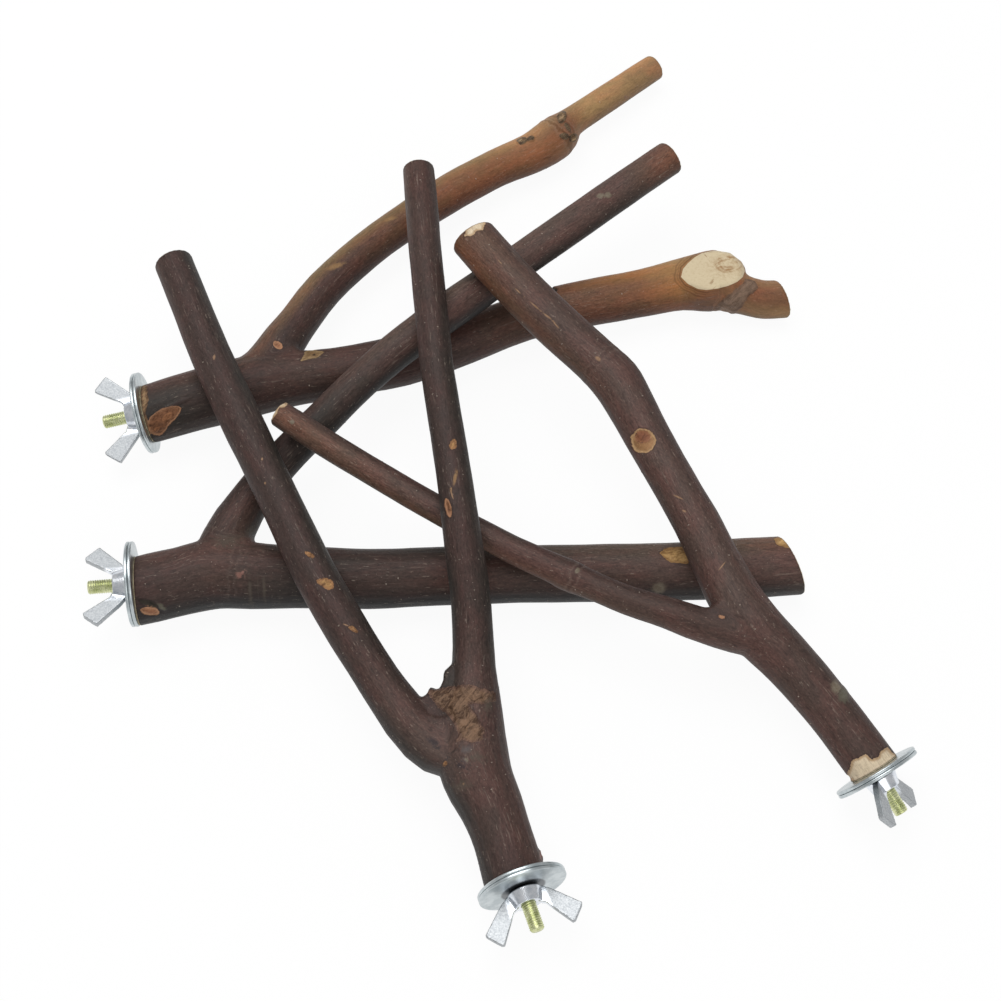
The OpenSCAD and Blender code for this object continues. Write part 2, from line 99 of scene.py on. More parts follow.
class Wire:  # one output socket: arithmetic on it adds Math nodes
    def __init__(self, net, socket):
        self.net = net
        self.socket = socket

    def __add__(self, other):
        return self.net.maths("ADD", self, other)

    def __sub__(self, other):
        return self.net.maths("SUBTRACT", self, other)

    def __rsub__(self, other):
        return self.net.maths("SUBTRACT", other, self)

    def __mul__(self, other):
        return self.net.maths("MULTIPLY", self, other)

    def __truediv__(self, other):
        return self.net.maths("DIVIDE", self, other)

    def __pow__(self, other):
        return self.net.maths("POWER", self, other)

    def __abs__(self):
        return self.net.maths("ABSOLUTE", self)

    def step(self, low, high):  # 0 below low, 1 above high, smooth between
        return self.net.node("ShaderNodeMapRange", {"interpolation_type": "SMOOTHSTEP"},
                             {"Value": self, "From Min": low, "From Max": high})


class Net:  # a node tree and what adds nodes to it
    def __init__(self, tree):
        self.tree = tree

    def node(self, kind, settings=None, inputs=None, out=0):
        made = self.tree.nodes.new(kind)
        for name, value in (settings or {}).items():
            setattr(made, name, value)
        for key, value in (inputs or {}).items():
            if isinstance(value, Wire):
                self.tree.links.new(value.socket, made.inputs[key])
            else:
                made.inputs[key].default_value = value
        return Wire(self, made.outputs[out])

    def maths(self, operation, *values):
        return self.node("ShaderNodeMath", {"operation": operation}, dict(enumerate(values)))

    def attribute(self, name, out="Vector"):
        return self.node("ShaderNodeAttribute", {"attribute_name": name}, out=out)

    def parts(self, vector):
        split = self.node("ShaderNodeSeparateXYZ", None, {0: vector}).socket.node
        return [Wire(self, s) for s in split.outputs]

    def stretch(self, vector, scale, shift):
        scaled = self.node("ShaderNodeVectorMath", {"operation": "MULTIPLY"}, {0: vector, 1: scale})
        return self.node("ShaderNodeVectorMath", {"operation": "ADD"}, {0: scaled, 1: (shift, shift, shift)})

    def cloud(self, vector, scale, detail, roughness, distortion=0.0):
        return self.node("ShaderNodeTexNoise", None, {
            "Vector": vector, "Scale": scale, "Detail": detail,
            "Roughness": roughness, "Distortion": distortion})

    def veins(self, vector, scale, shift, *kind):  # noise with a scale of its own on each axis
        return self.cloud(self.stretch(vector, scale, shift), 1.0, *kind)

    def blend(self, amount, first, second, how="MIX"):
        return self.node("ShaderNodeMix", {"data_type": "RGBA", "blend_type": how},
                         {0: amount, 6: first, 7: second}, out=2)

    def multiply(self, first, second):
        return self.blend(1.0, first, second, "MULTIPLY")

    def mottle(self, amount, low, high):  # a number that runs from low to high with amount
        return amount * (high - low) + low


def newSurface(name, build):  # a material whose surface is what build makes on its net
    finish = bpy.data.materials.new(name)
    finish.use_nodes = True
    finish.node_tree.nodes.clear()
    net = Net(finish.node_tree)
    end = net.tree.nodes.new("ShaderNodeOutputMaterial")
    net.tree.links.new(build(net).socket, end.inputs["Surface"])
    return finish


def newFinish(name, constants, varying):
    # constants are values on the shader's own sockets, varying builds the rest on the net
    def build(net):
        return net.node("ShaderNodeBsdfPrincipled", None, {**constants, **varying(net)})
    return newSurface(name, build)


stageLook = {
    "size": 20.0,  # half the floor's width in metres
    "paper": (246, 246, 246),
    "shadow": 0.06,  # how much of the shadow the camera sees on the paper
    "worldStrength": 0.46,
    "overhead": {"place": (-0.25, 0.35, 1.25), "size": 1.1, "power": 11.5},
    "front": {"place": (0.45, -1.2, 1.1), "size": 1.2, "power": 5.0},
}


def paperSurface(net):
    matte = net.node("ShaderNodeBsdfDiffuse", None, {"Color": shade(*stageLook["paper"])})
    bright = net.node("ShaderNodeEmission", None, {"Color": (1, 1, 1, 1), "Strength": 1.0})
    seen = 0.0  # 1 for the camera and for what metal reflects, 0 for the light that the paper gives back
    for ray in ("Is Camera Ray", "Is Glossy Ray", "Is Transmission Ray"):
        seen = net.node("ShaderNodeLightPath", out=ray) + seen
    whiteness = net.maths("MINIMUM", seen, 1.0) * (1.0 - stageLook["shadow"])
    return net.node("ShaderNodeMixShader", None, {0: whiteness, 1: matte, 2: bright})


def makeFloor():
    size = stageLook["size"]
    mesh = bpy.data.meshes.new("floor")
    mesh.from_pydata([(-size, -size, 0), (size, -size, 0), (size, size, 0), (-size, size, 0)],
                     [], [(0, 1, 2, 3)])
    mesh.materials.append(newSurface("paper", paperSurface))
    newPiece("floor", mesh)


def makeLight(name, place, size, power):
    lamp = bpy.data.lights.new(name, "AREA")
    lamp.shape = "DISK"
    lamp.size = size
    lamp.energy = power
    newAimed(name, lamp, place, Vector(view["target"]) - Vector(place))


makeFloor()
makeLight("overhead", **stageLook["overhead"])
makeLight("front", **stageLook["front"])
world = bpy.data.worlds.new("studio")
world.use_nodes = True
sky = world.node_tree.nodes["Background"].inputs
sky["Color"].default_value = (1, 1, 1, 1)
sky["Strength"].default_value = stageLook["worldStrength"]
bpy.context.scene.world = world
bpy.context.scene.view_settings.view_transform = "Standard"
print("stage ready")


@contextlib.contextmanager
def edited(mesh):  # the mesh as a bmesh, written back at the end
    bm = bmesh.new()
    bm.from_mesh(mesh)
    yield bm
    bm.to_mesh(mesh)
    bm.free()


def mergedCopy(node):
    mesh = frame["nodes"][node].data.copy()
    with edited(mesh) as bm:
        bmesh.ops.remove_doubles(bm, verts=bm.verts, dist=1e-7)
    mesh.materials.clear()
    return mesh


def remeshed(name, mesh, voxel):
    piece = newPiece(name, mesh)
    skin = piece.modifiers.new("skin", "REMESH")
    skin.mode = "VOXEL"
    skin.voxel_size = voxel
    graph = bpy.context.evaluated_depsgraph_get()
    finer = bpy.data.meshes.new_from_object(piece.evaluated_get(graph))
    piece.modifiers.clear()
    piece.data = finer
    finer.name = name
    return piece


def vectorsOf(mesh, what):  # the place ("co") or the normal of every vertex
    flat = np.empty(len(mesh.vertices) * 3, np.float32)
    mesh.vertices.foreach_get(what, flat)
    return flat.reshape(-1, 3).astype(float)


def setPoints(mesh, points):
    mesh.vertices.foreach_set("co", points.astype(np.float32).ravel())
    mesh.update()


def relax(mesh, rounds, hold):
    # evens out the facets without shrinking; hold is 1 where the surface may move, 0 where not
    ends = np.empty(len(mesh.edges) * 2, np.int64)
    mesh.edges.foreach_get("vertices", ends)
    a, b = ends.reshape(-1, 2).T
    total = len(mesh.vertices)
    count = np.bincount(a, minlength=total) + np.bincount(b, minlength=total)
    points = vectorsOf(mesh, "co")
    for factor in (0.55, -0.57) * rounds:  # a step in and a slightly longer one out again
        around = np.zeros_like(points)
        for axis in range(3):
            around[:, axis] = np.bincount(a, points[b, axis], total) + np.bincount(b, points[a, axis], total)
        points += factor * hold[:, None] * (around / count[:, None] - points)
    setPoints(mesh, points)


def smoothShaded(mesh):
    for face in mesh.polygons:
        face.use_smooth = True


def storeVector(mesh, name, values):
    layer = mesh.attributes.new(name, "FLOAT_VECTOR", "POINT")
    layer.data.foreach_set("vector", values.astype(np.float32).ravel())


def storeNumber(mesh, name, values):
    layer = mesh.attributes.new(name, "FLOAT", "POINT")
    layer.data.foreach_set("value", values.astype(np.float32))


def storeColour(mesh, name, values):
    layer = mesh.attributes.new(name, "FLOAT_COLOR", "POINT")
    full = np.ones((len(values), 4), np.float32)
    full[:, :3] = values
    layer.data.foreach_set("color", full.ravel())


def smoothStep(low, high, values):
    t = np.clip((values - low) / (high - low), 0, 1)
    return t * t * (3 - 2 * t)


def lumps(points, scale, seed):  # smooth noise from about -1 to 1 at each point
    return np.array([noise.noise(Vector(p)) for p in points * scale + seed])


def smoothLine(rows, spacing=1.0):
    # rows of x, y, z and girth in mm, run through smoothly, with a point at each spacing
    rows = np.array(rows, float)
    lengths = np.linalg.norm(np.diff(rows[:, :3], axis=0), axis=1)
    at = np.concatenate([[0], np.cumsum(lengths)])
    slopes = np.gradient(rows, at, axis=0)
    places = np.arange(0, at[-1], spacing)
    k = np.clip(np.searchsorted(at, places, "right") - 1, 0, len(rows) - 2)
    h = (at[k + 1] - at[k])[:, None]
    t = (places - at[k])[:, None] / h
    return ((2 * t**3 - 3 * t**2 + 1) * rows[k] + (t**3 - 2 * t**2 + t) * h * slopes[k]
            + (3 * t**2 - 2 * t**3) * rows[k + 1] + (t**3 - t**2) * h * slopes[k + 1])


class LimbLine:  # the middle line of a limb, with directions that are carried along it
    def __init__(self, rows):
        line = smoothLine(rows)
        self.points, self.girth = line[:, :3], line[:, 3]
        steps = np.linalg.norm(np.diff(self.points, axis=0), axis=1)
        self.along = np.concatenate([[0], np.cumsum(steps)])
        self.tangent = np.gradient(self.points, axis=0)
        self.tangent /= np.linalg.norm(self.tangent, axis=1)[:, None]
        side = -sightRow  # the side that faces the camera
        self.side, self.across = [], []
        for direction in self.tangent:  # carried along the line without twisting
            side = side - direction * (side @ direction)
            side = side / np.linalg.norm(side)
            self.side.append(side)
            self.across.append(np.cross(direction, side))
        self.side, self.across = np.array(self.side), np.array(self.across)

    def measure(self, points):
        # for points in mm: the vector (side, across, along), the share of the girth, the nearest place
        out = np.empty((len(points), 3))
        share = np.empty(len(points))
        nearest = np.empty(len(points), int)
        last, batch = len(self.points) - 1, 4096
        for start in range(0, len(points), batch):
            block = points[start:start + batch]
            gaps = np.linalg.norm(block[:, None] - self.points[None], axis=2)
            k = gaps.argmin(1)
            away = block - self.points[k]
            slide = (away * self.tangent[k]).sum(1)
            before = np.where(k == 0, np.minimum(slide + 1, 0), 0)  # past the ends the line runs on straight
            after = np.where(k == last, np.maximum(slide - 1, 0), 0)
            slide = np.clip(slide, -1.0, 1.0) + before + after
            flat = away - slide[:, None] * self.tangent[k]
            out[start:start + batch] = np.stack([
                (flat * self.side[k]).sum(1), (flat * self.across[k]).sum(1), self.along[k] + slide], 1)
            share[start:start + batch] = np.linalg.norm(flat, axis=1) / self.girth[k]
            nearest[start:start + batch] = k
        return out, share, nearest


def tonesOn(stops, grain):
    # colours between stops along a limb, each with a low, a middle and a high edge, which also hold painted
    # light and shade
    places = [stop[0] for stop in stops]
    names = np.array([stop[1:] for stop in stops])
    radius = np.hypot(grain[:, 0], grain[:, 1]) + 1e-6
    edge = grain[:, 1] / radius * smoothStep(-0.9, 0.0, grain[:, 0] / radius)
    low, high = smoothStep(0.15, 0.95, edge), smoothStep(0.25, 0.95, -edge)
    total = np.zeros((len(grain), 3))
    for column, share in ((0, low), (1, 1 - low - high), (2, high)):
        colours = np.array([shade(*barkPalette[n])[:3] for n in names[:, column]])
        here = np.stack([np.interp(grain[:, 2], places, colours[:, i]) for i in range(3)], 1)
        total += share[:, None] * here
    return total


def flatFaces(mesh, least=60.0, narrowest=4.5, longest=2.6, flatness=0.99995):
    # the sawn faces of a branch: flat, of at least so many mm2 and mm of half width, and no long strips
    bm = bmesh.new()
    bm.from_mesh(mesh)
    bm.faces.ensure_lookup_table()
    seen, found = set(), []
    for face in bm.faces:
        if face.index in seen:
            continue
        group, todo = [], [face]
        seen.add(face.index)
        while todo:
            here = todo.pop()
            group.append(here)
            for edge in here.edges:
                for other in edge.link_faces:
                    if other.index not in seen and other.normal.dot(face.normal) > flatness:
                        seen.add(other.index)
                        todo.append(other)
        if sum(f.calc_area() for f in group) < least * mm * mm:
            continue
        points = np.unique([tuple(v.co) for f in group for v in f.verts], axis=0) / mm
        normal = np.array(face.normal)
        middle = points.mean(0)
        _, axes = np.linalg.eigh(np.cov((points - middle).T))
        first, second = axes[:, 2], axes[:, 1]
        sides = (points - middle) @ np.stack([first, second], 1)
        half = (sides.max(0) - sides.min(0)) / 2
        if half.min() > narrowest and half.max() < longest * half.min():
            middle = middle + np.stack([first, second], 1) @ ((sides.max(0) + sides.min(0)) / 2)
            found.append({"normal": normal, "first": first, "second": second, "centre": middle, "half": half})
    bm.free()
    return found


def landOn(tree, x, y):
    # where a pixel of the picture falls on a piece, or the nearest place to its line of sight
    ray = pixelRay(x, y)
    hit = tree.ray_cast(eye, ray)[0]
    if hit is not None:
        return hit
    near = [tree.find_nearest(eye + ray * far) for far in np.linspace(*view["reach"], 60)]
    return min(near, key=lambda found: found[3])[0]


def edgeDistance(points, outline):
    # signed distance of 2-D points to a closed outline, positive inside
    outline = np.array(outline, float)
    best = np.full(len(points), 1e9)
    inside = np.zeros(len(points), bool)
    for a, b in zip(outline, np.roll(outline, -1, axis=0)):
        run = b - a
        t = np.clip(((points - a) @ run) / max(run @ run, 1e-12), 0, 1)
        best = np.minimum(best, np.linalg.norm(points - a - t[:, None] * run, axis=1))
        crosses = (a[1] > points[:, 1]) != (b[1] > points[:, 1])
        with np.errstate(divide="ignore", invalid="ignore"):
            at = (b[0] - a[0]) * (points[:, 1] - a[1]) / (b[1] - a[1]) + a[0]
        inside ^= crosses & (points[:, 0] < at)
    return np.where(inside, best, -best)


# The branches' middle lines, with the same shares as the part's source: rows of along, aside, up and
# girth, the first three as shares of the length from the middle of the butt, the last of the butt's
# thickness. Length and butt are in mm. A turn is heading, pitch and roll in degrees, the bolt's is
# taken from the perch's own, and the offset is from the bolt to the middle of the butt, beside it and
# above it, in butt thicknesses. The fork counts the stem's rows below the arm.
perches = {
    "far": {
        "length": 236.5,
        "butt": 21.5,
        "turn": (7.2, -1.0, -1.5),
        "boltTurn": (2.3, 9.5),
        "offset": (-0.04, 0.0),
        "stem": [(0.000, 0.000, 0.000, 1.00), (0.076, 0.016, 0.002, 1.04), (0.155, 0.032, 0.000, 1.06),
                 (0.220, 0.039, 0.000, 0.97), (0.294, 0.042, 0.000, 0.88), (0.404, 0.054, 0.000, 0.89),
                 (0.503, 0.081, 0.000, 0.86), (0.603, 0.112, 0.000, 0.81), (0.702, 0.128, 0.000, 0.83),
                 (0.801, 0.138, 0.000, 0.85), (0.861, 0.146, 0.002, 0.92), (0.904, 0.144, 0.006, 1.07),
                 (0.926, 0.144, 0.008, 1.02), (0.944, 0.127, 0.000, 0.83), (0.964, 0.119, -0.006, 0.70),
                 (0.992, 0.111, -0.011, 0.69), (1.022, 0.108, -0.011, 0.68)],
        "fork": 3,
        "arm": [(0.218, 0.110, 0.001, 0.76), (0.243, 0.144, 0.001, 0.70), (0.290, 0.205, 0.001, 0.68),
                (0.363, 0.272, 0.001, 0.665), (0.440, 0.328, 0.001, 0.67), (0.517, 0.377, 0.001, 0.70),
                (0.596, 0.418, 0.001, 0.70), (0.657, 0.442, 0.001, 0.74), (0.697, 0.466, 0.001, 0.81),
                (0.718, 0.486, 0.001, 0.72), (0.736, 0.503, 0.001, 0.56), (0.780, 0.532, 0.001, 0.53),
                (0.850, 0.577, 0.002, 0.51), (0.895, 0.606, 0.002, 0.49)],
    },
    "left": {
        "length": 237.0,
        "butt": 24.5,
        "turn": (5.0, -0.2, 9.6),
        "boltTurn": (0.2, -0.7),
        "offset": (-0.08, -0.1),
        "stem": [(0.000, 0.000, 0.000, 1.00), (0.063, 0.010, 0.000, 0.99), (0.118, 0.018, -0.001, 1.02),
                 (0.172, 0.010, 0.000, 0.97), (0.235, 0.003, 0.000, 0.905), (0.343, -0.009, 0.001, 0.875),
                 (0.457, -0.014, 0.002, 0.85), (0.568, -0.020, 0.002, 0.835), (0.673, -0.027, 0.003, 0.84),
                 (0.787, -0.034, 0.003, 0.84), (0.897, -0.038, 0.003, 0.88), (0.972, -0.039, 0.003, 0.87)],
        "fork": 2,
        "arm": [(0.150, 0.100, -0.008, 0.68), (0.172, 0.132, -0.009, 0.61), (0.220, 0.187, -0.006, 0.565),
                (0.287, 0.248, 0.002, 0.545), (0.355, 0.307, 0.010, 0.54), (0.430, 0.363, 0.017, 0.565),
                (0.521, 0.426, 0.013, 0.58), (0.613, 0.489, 0.005, 0.545), (0.700, 0.549, -0.004, 0.55),
                (0.788, 0.609, -0.012, 0.548), (0.872, 0.664, -0.018, 0.54)],
    },
    "right": {
        "length": 245.0,
        "butt": 17.5,
        "turn": (122.0, 8.0, -3.7),
        "boltTurn": (0.0, 8.4),
        "offset": (0.0, 0.0),
        "stem": [(0.000, 0.000, 0.000, 1.00), (0.074, 0.004, 0.003, 0.975), (0.138, 0.010, 0.006, 1.005),
                 (0.200, 0.020, 0.009, 1.06), (0.250, 0.030, 0.011, 1.12), (0.300, 0.030, 0.010, 1.07),
                 (0.357, 0.023, 0.009, 0.985), (0.424, 0.014, 0.010, 0.93), (0.489, 0.009, 0.010, 0.905),
                 (0.563, 0.003, 0.009, 0.935), (0.625, -0.004, 0.008, 1.00), (0.665, -0.006, 0.008, 1.03),
                 (0.706, 0.002, 0.008, 0.97), (0.773, 0.019, 0.009, 0.98), (0.841, 0.034, 0.010, 0.98),
                 (0.918, 0.045, 0.007, 0.98), (0.968, 0.050, 0.003, 0.97)],
        "fork": 4,
        "arm": [(0.302, 0.102, 0.016, 0.68), (0.330, 0.124, 0.016, 0.63), (0.374, 0.160, 0.013, 0.58),
                (0.420, 0.191, 0.010, 0.58), (0.452, 0.212, 0.007, 0.64), (0.470, 0.223, 0.006, 0.60),
                (0.523, 0.256, 0.002, 0.565), (0.583, 0.290, 0.002, 0.55), (0.650, 0.326, 0.000, 0.57),
                (0.719, 0.361, -0.001, 0.56), (0.785, 0.393, -0.003, 0.57), (0.849, 0.422, -0.005, 0.56),
                (0.877, 0.434, -0.007, 0.54)],
    },
    "front": {
        "length": 271.0,
        "butt": 21.0,
        "turn": (106.7, 6.5, -6.0),
        "boltTurn": (3.0, -9.0),
        "offset": (0.07, 0.0),
        "stem": [(0.000, 0.000, 0.000, 1.00), (0.056, 0.000, 0.000, 0.95), (0.098, 0.002, 0.001, 1.01),
                 (0.139, 0.008, 0.002, 1.12), (0.179, 0.004, 0.001, 1.14), (0.220, -0.010, 0.000, 0.96),
                 (0.275, -0.027, 0.001, 0.71), (0.345, -0.046, 0.017, 0.655), (0.418, -0.059, 0.034, 0.64),
                 (0.492, -0.071, 0.044, 0.59), (0.581, -0.083, 0.032, 0.577),
                 (0.659, -0.093, 0.021, 0.571), (0.739, -0.107, 0.011, 0.573),
                 (0.826, -0.123, 0.000, 0.572), (0.924, -0.142, -0.013, 0.58),
                 (0.985, -0.154, -0.022, 0.56)],
        "fork": 4,
        "arm": [(0.232, 0.071, 0.010, 0.80), (0.290, 0.091, 0.018, 0.714), (0.362, 0.111, 0.027, 0.718),
                (0.442, 0.130, 0.029, 0.712), (0.524, 0.144, 0.022, 0.693), (0.604, 0.157, 0.014, 0.69),
                (0.694, 0.172, 0.006, 0.72), (0.799, 0.188, -0.004, 0.702), (0.890, 0.198, -0.013, 0.68),
                (0.954, 0.205, -0.021, 0.68)],
    },
}


def turnBy(heading, pitch, roll=0.0):  # turns rows or places as the source turns a perch
    return np.array(Euler([math.radians(a) for a in (roll, -pitch, heading)]).to_matrix())


def limbRows(name, shares):  # rows of x, y, z and girth in mm in the frame, to a tenth
    plan = perches[name]
    shares = np.array(shares)
    middle = turnBy(*plan["boltTurn"]) @ np.array((0.0, *plan["offset"])) * plan["butt"]
    places = (shares[:, :3] * plan["length"] + middle) @ turnBy(*plan["turn"]).T
    places += np.array(boltFrame(name).translation) / mm
    return np.round(np.column_stack([places, shares[:, 3] * plan["butt"] / 2]), 1)


barkPalette = {  # screen colours
    "umber": (73, 54, 49),
    "plum": (63, 48, 45),
    "smoke": (48, 42, 39),
    "slate": (29, 29, 30),
    "cocoa": (84, 65, 60),
    "clay": (98, 72, 58),
    "ash": (90, 76, 68),
    "russet": (118, 80, 57),
    "chestnut": (84, 54, 40),
    "copper": (138, 94, 64),
    "amber": (152, 107, 64),
    "honey": (166, 130, 90),
    "fawn": (140, 108, 78),
    "olive": (122, 98, 68),
}

# bark colours at distances in mm along the stem and, from the butt through the fork, along the arm:
# on the edge that is low or right in the view, in the middle, and on the high or left edge
# beside the bark's own colour these edges hold painted light and shade: painted shade on shaded edges, painted
# sheen on lit ones
barkTonesAndShade = {
    "far": {"stem": [(0, "smoke", "smoke", "umber"), (55, "plum", "umber", "umber"),
                     (120, "plum", "umber", "plum"), (160, "chestnut", "clay", "russet"),
                     (188, "chestnut", "russet", "amber"), (205, "russet", "amber", "honey"),
                     (222, "clay", "copper", "amber"), (238, "fawn", "russet", "fawn"),
                     (262, "honey", "russet", "fawn")],
            "arm": [(0, "smoke", "smoke", "umber"), (55, "plum", "plum", "clay"),
                    (95, "plum", "umber", "olive"), (150, "chestnut", "russet", "olive"),
                    (195, "russet", "copper", "honey"), (212, "fawn", "russet", "fawn"),
                    (225, "fawn", "honey", "honey"), (265, "fawn", "fawn", "honey")]},
    "left": {"stem": [(0, "slate", "plum", "umber"), (30, "slate", "umber", "cocoa"),
                      (60, "slate", "smoke", "plum"), (110, "slate", "umber", "smoke"),
                      (190, "slate", "cocoa", "ash"), (235, "smoke", "cocoa", "clay")],
             "arm": [(0, "slate", "plum", "umber"), (45, "smoke", "umber", "plum"),
                     (85, "slate", "smoke", "plum"), (160, "slate", "cocoa", "ash"),
                     (240, "smoke", "cocoa", "cocoa"), (275, "clay", "russet", "clay")]},
    "right": {"stem": [(0, "smoke", "plum", "umber"), (80, "umber", "cocoa", "umber"),
                       (150, "plum", "cocoa", "cocoa"), (200, "umber", "cocoa", "clay"),
                       (250, "umber", "clay", "russet")],
              "arm": [(0, "umber", "cocoa", "umber"), (80, "plum", "umber", "cocoa"),
                      (180, "plum", "cocoa", "clay"), (250, "umber", "clay", "ash")]},
    "front": {"stem": [(0, "umber", "plum", "smoke"), (50, "plum", "cocoa", "smoke"),
                       (100, "smoke", "plum", "smoke"), (190, "smoke", "plum", "plum"),
                       (275, "plum", "umber", "cocoa")],
              "arm": [(0, "umber", "plum", "smoke"), (55, "plum", "cocoa", "smoke"),
                      (110, "smoke", "plum", "plum"), (180, "smoke", "plum", "plum"),
                      (270, "smoke", "plum", "umber")]},
}

# soft marks on the bark: x and y in the picture, half length, half width, turn in degrees, kind
marks = {
    "far": [(178, 403, 17, 2.6, 22, "fold"), (336, 266, 12, 4, 20, "bruise"),
            (390, 219, 9, 3.5, 20, "bruise"), (626, 97, 2.6, 2, 0, "fleck"),
            (706, 256, 3, 0.8, -50, "crack"), (712, 281, 6, 2.0, 62, "crack"), (554, 289, 5, 3, -35, "pit"),
            (698, 303, 15, 4.5, 12, "veiled"), (314, 354, 2.2, 1.6, 20, "pit")],
    "left": [(162, 607, 7, 3.2, -38, "lens"), (239, 575, 4.2, 4.6, 0, "blush"),
             (243, 572, 2.5, 2, 30, "blush"), (659, 588, 8.5, 7.5, 0, "lichen"),
             (600, 196, 4.5, 4, 10, "lichen"), (608, 195, 4.5, 4, 10, "lichen"),
             (228, 541, 22, 9, 5, "haze"), (252, 530, 10, 7, 30, "haze"), (250, 590, 3, 22, 0, "haze"),
             (264, 588, 2.5, 20, 0, "haze")],
    "right": [(678, 497, 6, 1.1, -25, "fleck"), (598, 358.5, 4.5, 2.4, -40, "fleck"),
              (684, 511, 3, 1.4, -20, "fleck"), (722, 566, 7, 0.9, 50, "fleck"),
              (836, 687, 7, 8, 0, "lichen"), (843, 695, 9, 10, 0, "lens"), (535, 306, 8, 1.1, -42, "fleck"),
              (547, 316, 7, 1.2, -38, "fleck"), (556, 325, 6, 1.0, -50, "fleck"),
              (518, 291, 5, 0.9, -45, "fleck"), (500, 262, 4, 0.8, -50, "fleck"),
              (292, 422, 3.5, 3, 0, "lichen"), (577, 571, 4, 3, 60, "lichen")],
    "front": [(214, 357, 1.6, 3.5, 0, "fleck"), (346, 625, 4, 0.9, -20, "fleck"),
              (455, 478, 11, 2.4, 78, "bruise"), (452, 495, 7, 0.9, 110, "fleck"),
              (466, 760, 3.5, 2, -45, "lichen"), (463, 784, 4, 1.6, 50, "fleck"),
              (454, 750, 7, 1.3, 48, "crease"), (465, 760, 5, 2.4, -40, "dust"),
              (461, 766, 10, 4.5, -15, "stain"), (434, 743, 13, 5, -42, "stain"),
              (466, 750, 9, 4.5, 20, "dust"), (476, 757, 14, 7, -20, "haze"), (462, 786, 15, 8, 20, "haze"),
              (488, 705, 14, 8, 60, "haze"), (262, 459, 1.4, 2, 0, "fleck"),
              (265, 483, 1.2, 1.6, 0, "fleck"), (541, 854, 3, 6, 0, "blush")],
}
markKinds = {  # screen colour, darkness of the ring round it, softness of its edge, mm sunk, mm of raised lip
    "blush": ((136, 98, 88), 0.0, 0.9, 0.0, 0.1),
    "bruise": ((148, 116, 78), 0.0, 0.9, 0.0, 0.0),
    "fleck": ((146, 116, 90), 0.0, 0.6, 0.05, 0.0),
    "fold": ((54, 40, 36), 0.0, 0.9, -0.45, 0.0),
    "lens": ((98, 95, 82), 0.0, 0.9, -0.3, 0.0),
    "lichen": ((116, 106, 91), 0.0, 0.5, -0.05, 0.0),
    "haze": ((86, 78, 68), 0.0, 1.4, 0.0, 0.0),
    "veiled": ((112, 88, 76), 0.0, 1.4, 0.0, 0.0),
    "dust": ((96, 90, 90), 0.0, 1.3, 0.0, 0.0),
    "stain": ((42, 40, 46), 0.0, 1.3, 0.0, 0.0),
    "crease": ((40, 35, 32), 0.0, 1.3, 0.3, 0.0),
    "pit": ((48, 36, 28), 0.2, 0.4, 0.6, 0.1),
    "crack": ((164, 134, 98), 0.0, 1.1, 0.1, 0.0),
}

# where bark is missing or different: kind, then an outline in the picture,
# or an oval as x, y, half length, half width and turn in degrees
patches = {
    "far": [("frayed", [(141, 384), (147, 386), (148, 400), (146, 412), (148, 424), (151, 435), (144, 436),
                        (141, 410)]),
            ("wound", [(147, 424), (150, 417), (156, 412), (163, 408), (171, 406), (178, 405.5), (182, 408),
                       (180, 413), (175, 420), (168, 426), (165, 432), (160, 435.5), (153, 435),
                       (149, 431)]),
            ("core", (167, 417, 6, 3.2, 42)), ("core", (156, 430, 4, 2.6, 30)),
            ("bud", (278, 345, 5.5, 3.6, -35)),
            ("peeled", [(301, 361), (304, 353), (309, 347), (315, 350), (324, 352), (316, 358)]),
            ("knotty", (522, 141, 5.5, 3.6, 15)), ("knotty", (531, 139, 4, 3, 30)),
            ("knotty", (562, 117, 6, 4.5, 70)), ("knotty", (568, 128, 6, 2, -60)),
            ("knotty", (564, 136, 4.5, 3.5, 0)), ("knotty", (573, 138, 4.5, 4, 30)),
            ("collar", [(713, 311), (718, 303), (727, 295), (738, 288), (746, 279), (755, 281), (758, 288),
                        (748, 297), (741, 307), (733, 317)])],
    "left": [("bud", (150, 611.5, 9.5, 4.4, -8)),
             ("hollow", [(137, 599), (145, 599), (152, 601), (157, 606), (154, 608), (147, 606),
                         (141, 604.5), (138, 602)]),
             ("golden", [(659, 553), (664, 548), (682, 546), (690, 556), (688, 564), (671, 563)]),
             ("golden", [(774, 539), (784, 534), (797, 534), (804, 540), (805, 553), (795, 551), (786, 547),
                         (777, 545)])],
    "right": [("bare", [(845, 779), (849, 769), (851, 761), (858, 758), (866, 754), (871, 759), (879, 756),
                        (880, 751), (888, 747), (892, 751), (899, 757), (880, 790)]),
              ("bare", [(463, 237), (466, 229), (473, 222), (486, 221), (483, 230), (476, 231),
                        (471, 236)]),
              ("bare", [(267, 409), (271, 402), (279, 400), (289, 403), (284, 407), (279, 408), (277, 414),
                        (272, 420), (267, 417)]),
              # the upper part of the socket is painted darker: painted shadow inside the sunk socket
              ("socket", (643, 441, 13.2, 12.6, 0)), ("socketShadedTop", (642, 436.5, 9, 6.5, 8)),
              ("bud", (722, 617, 4, 2.2, -15))],
    "front": [("torn", [(426, 691), (442, 688), (451, 686), (462, 685), (474, 685.5), (482, 689),
                        (493, 691.5), (496, 693), (496, 702), (486, 703.5), (469, 704), (471, 708.6),
                        (477, 715.5), (480.6, 722), (485, 732.6), (482, 739.5), (472, 743), (463.5, 741),
                        (456.6, 743.8), (455, 741), (459, 733.5), (455, 724), (448, 715.5), (439.5, 708.6),
                        (432.6, 700)]),
              ("burl", (309.4, 554.8, 5.4, 2, -35)), ("burl", (352.6, 629, 5.4, 2.2, -35)),
              ("burl", [(316, 581), (320, 579), (326, 578), (331, 580), (334, 584), (333, 588), (329, 590),
                        (324, 587), (319, 584)]),
              ("burl", (453, 444, 5.4, 4.4, 80)), ("wound", (448, 508, 10, 3.2, 102)),
              ("burl", (445, 764, 3, 1.6, 55))],
}
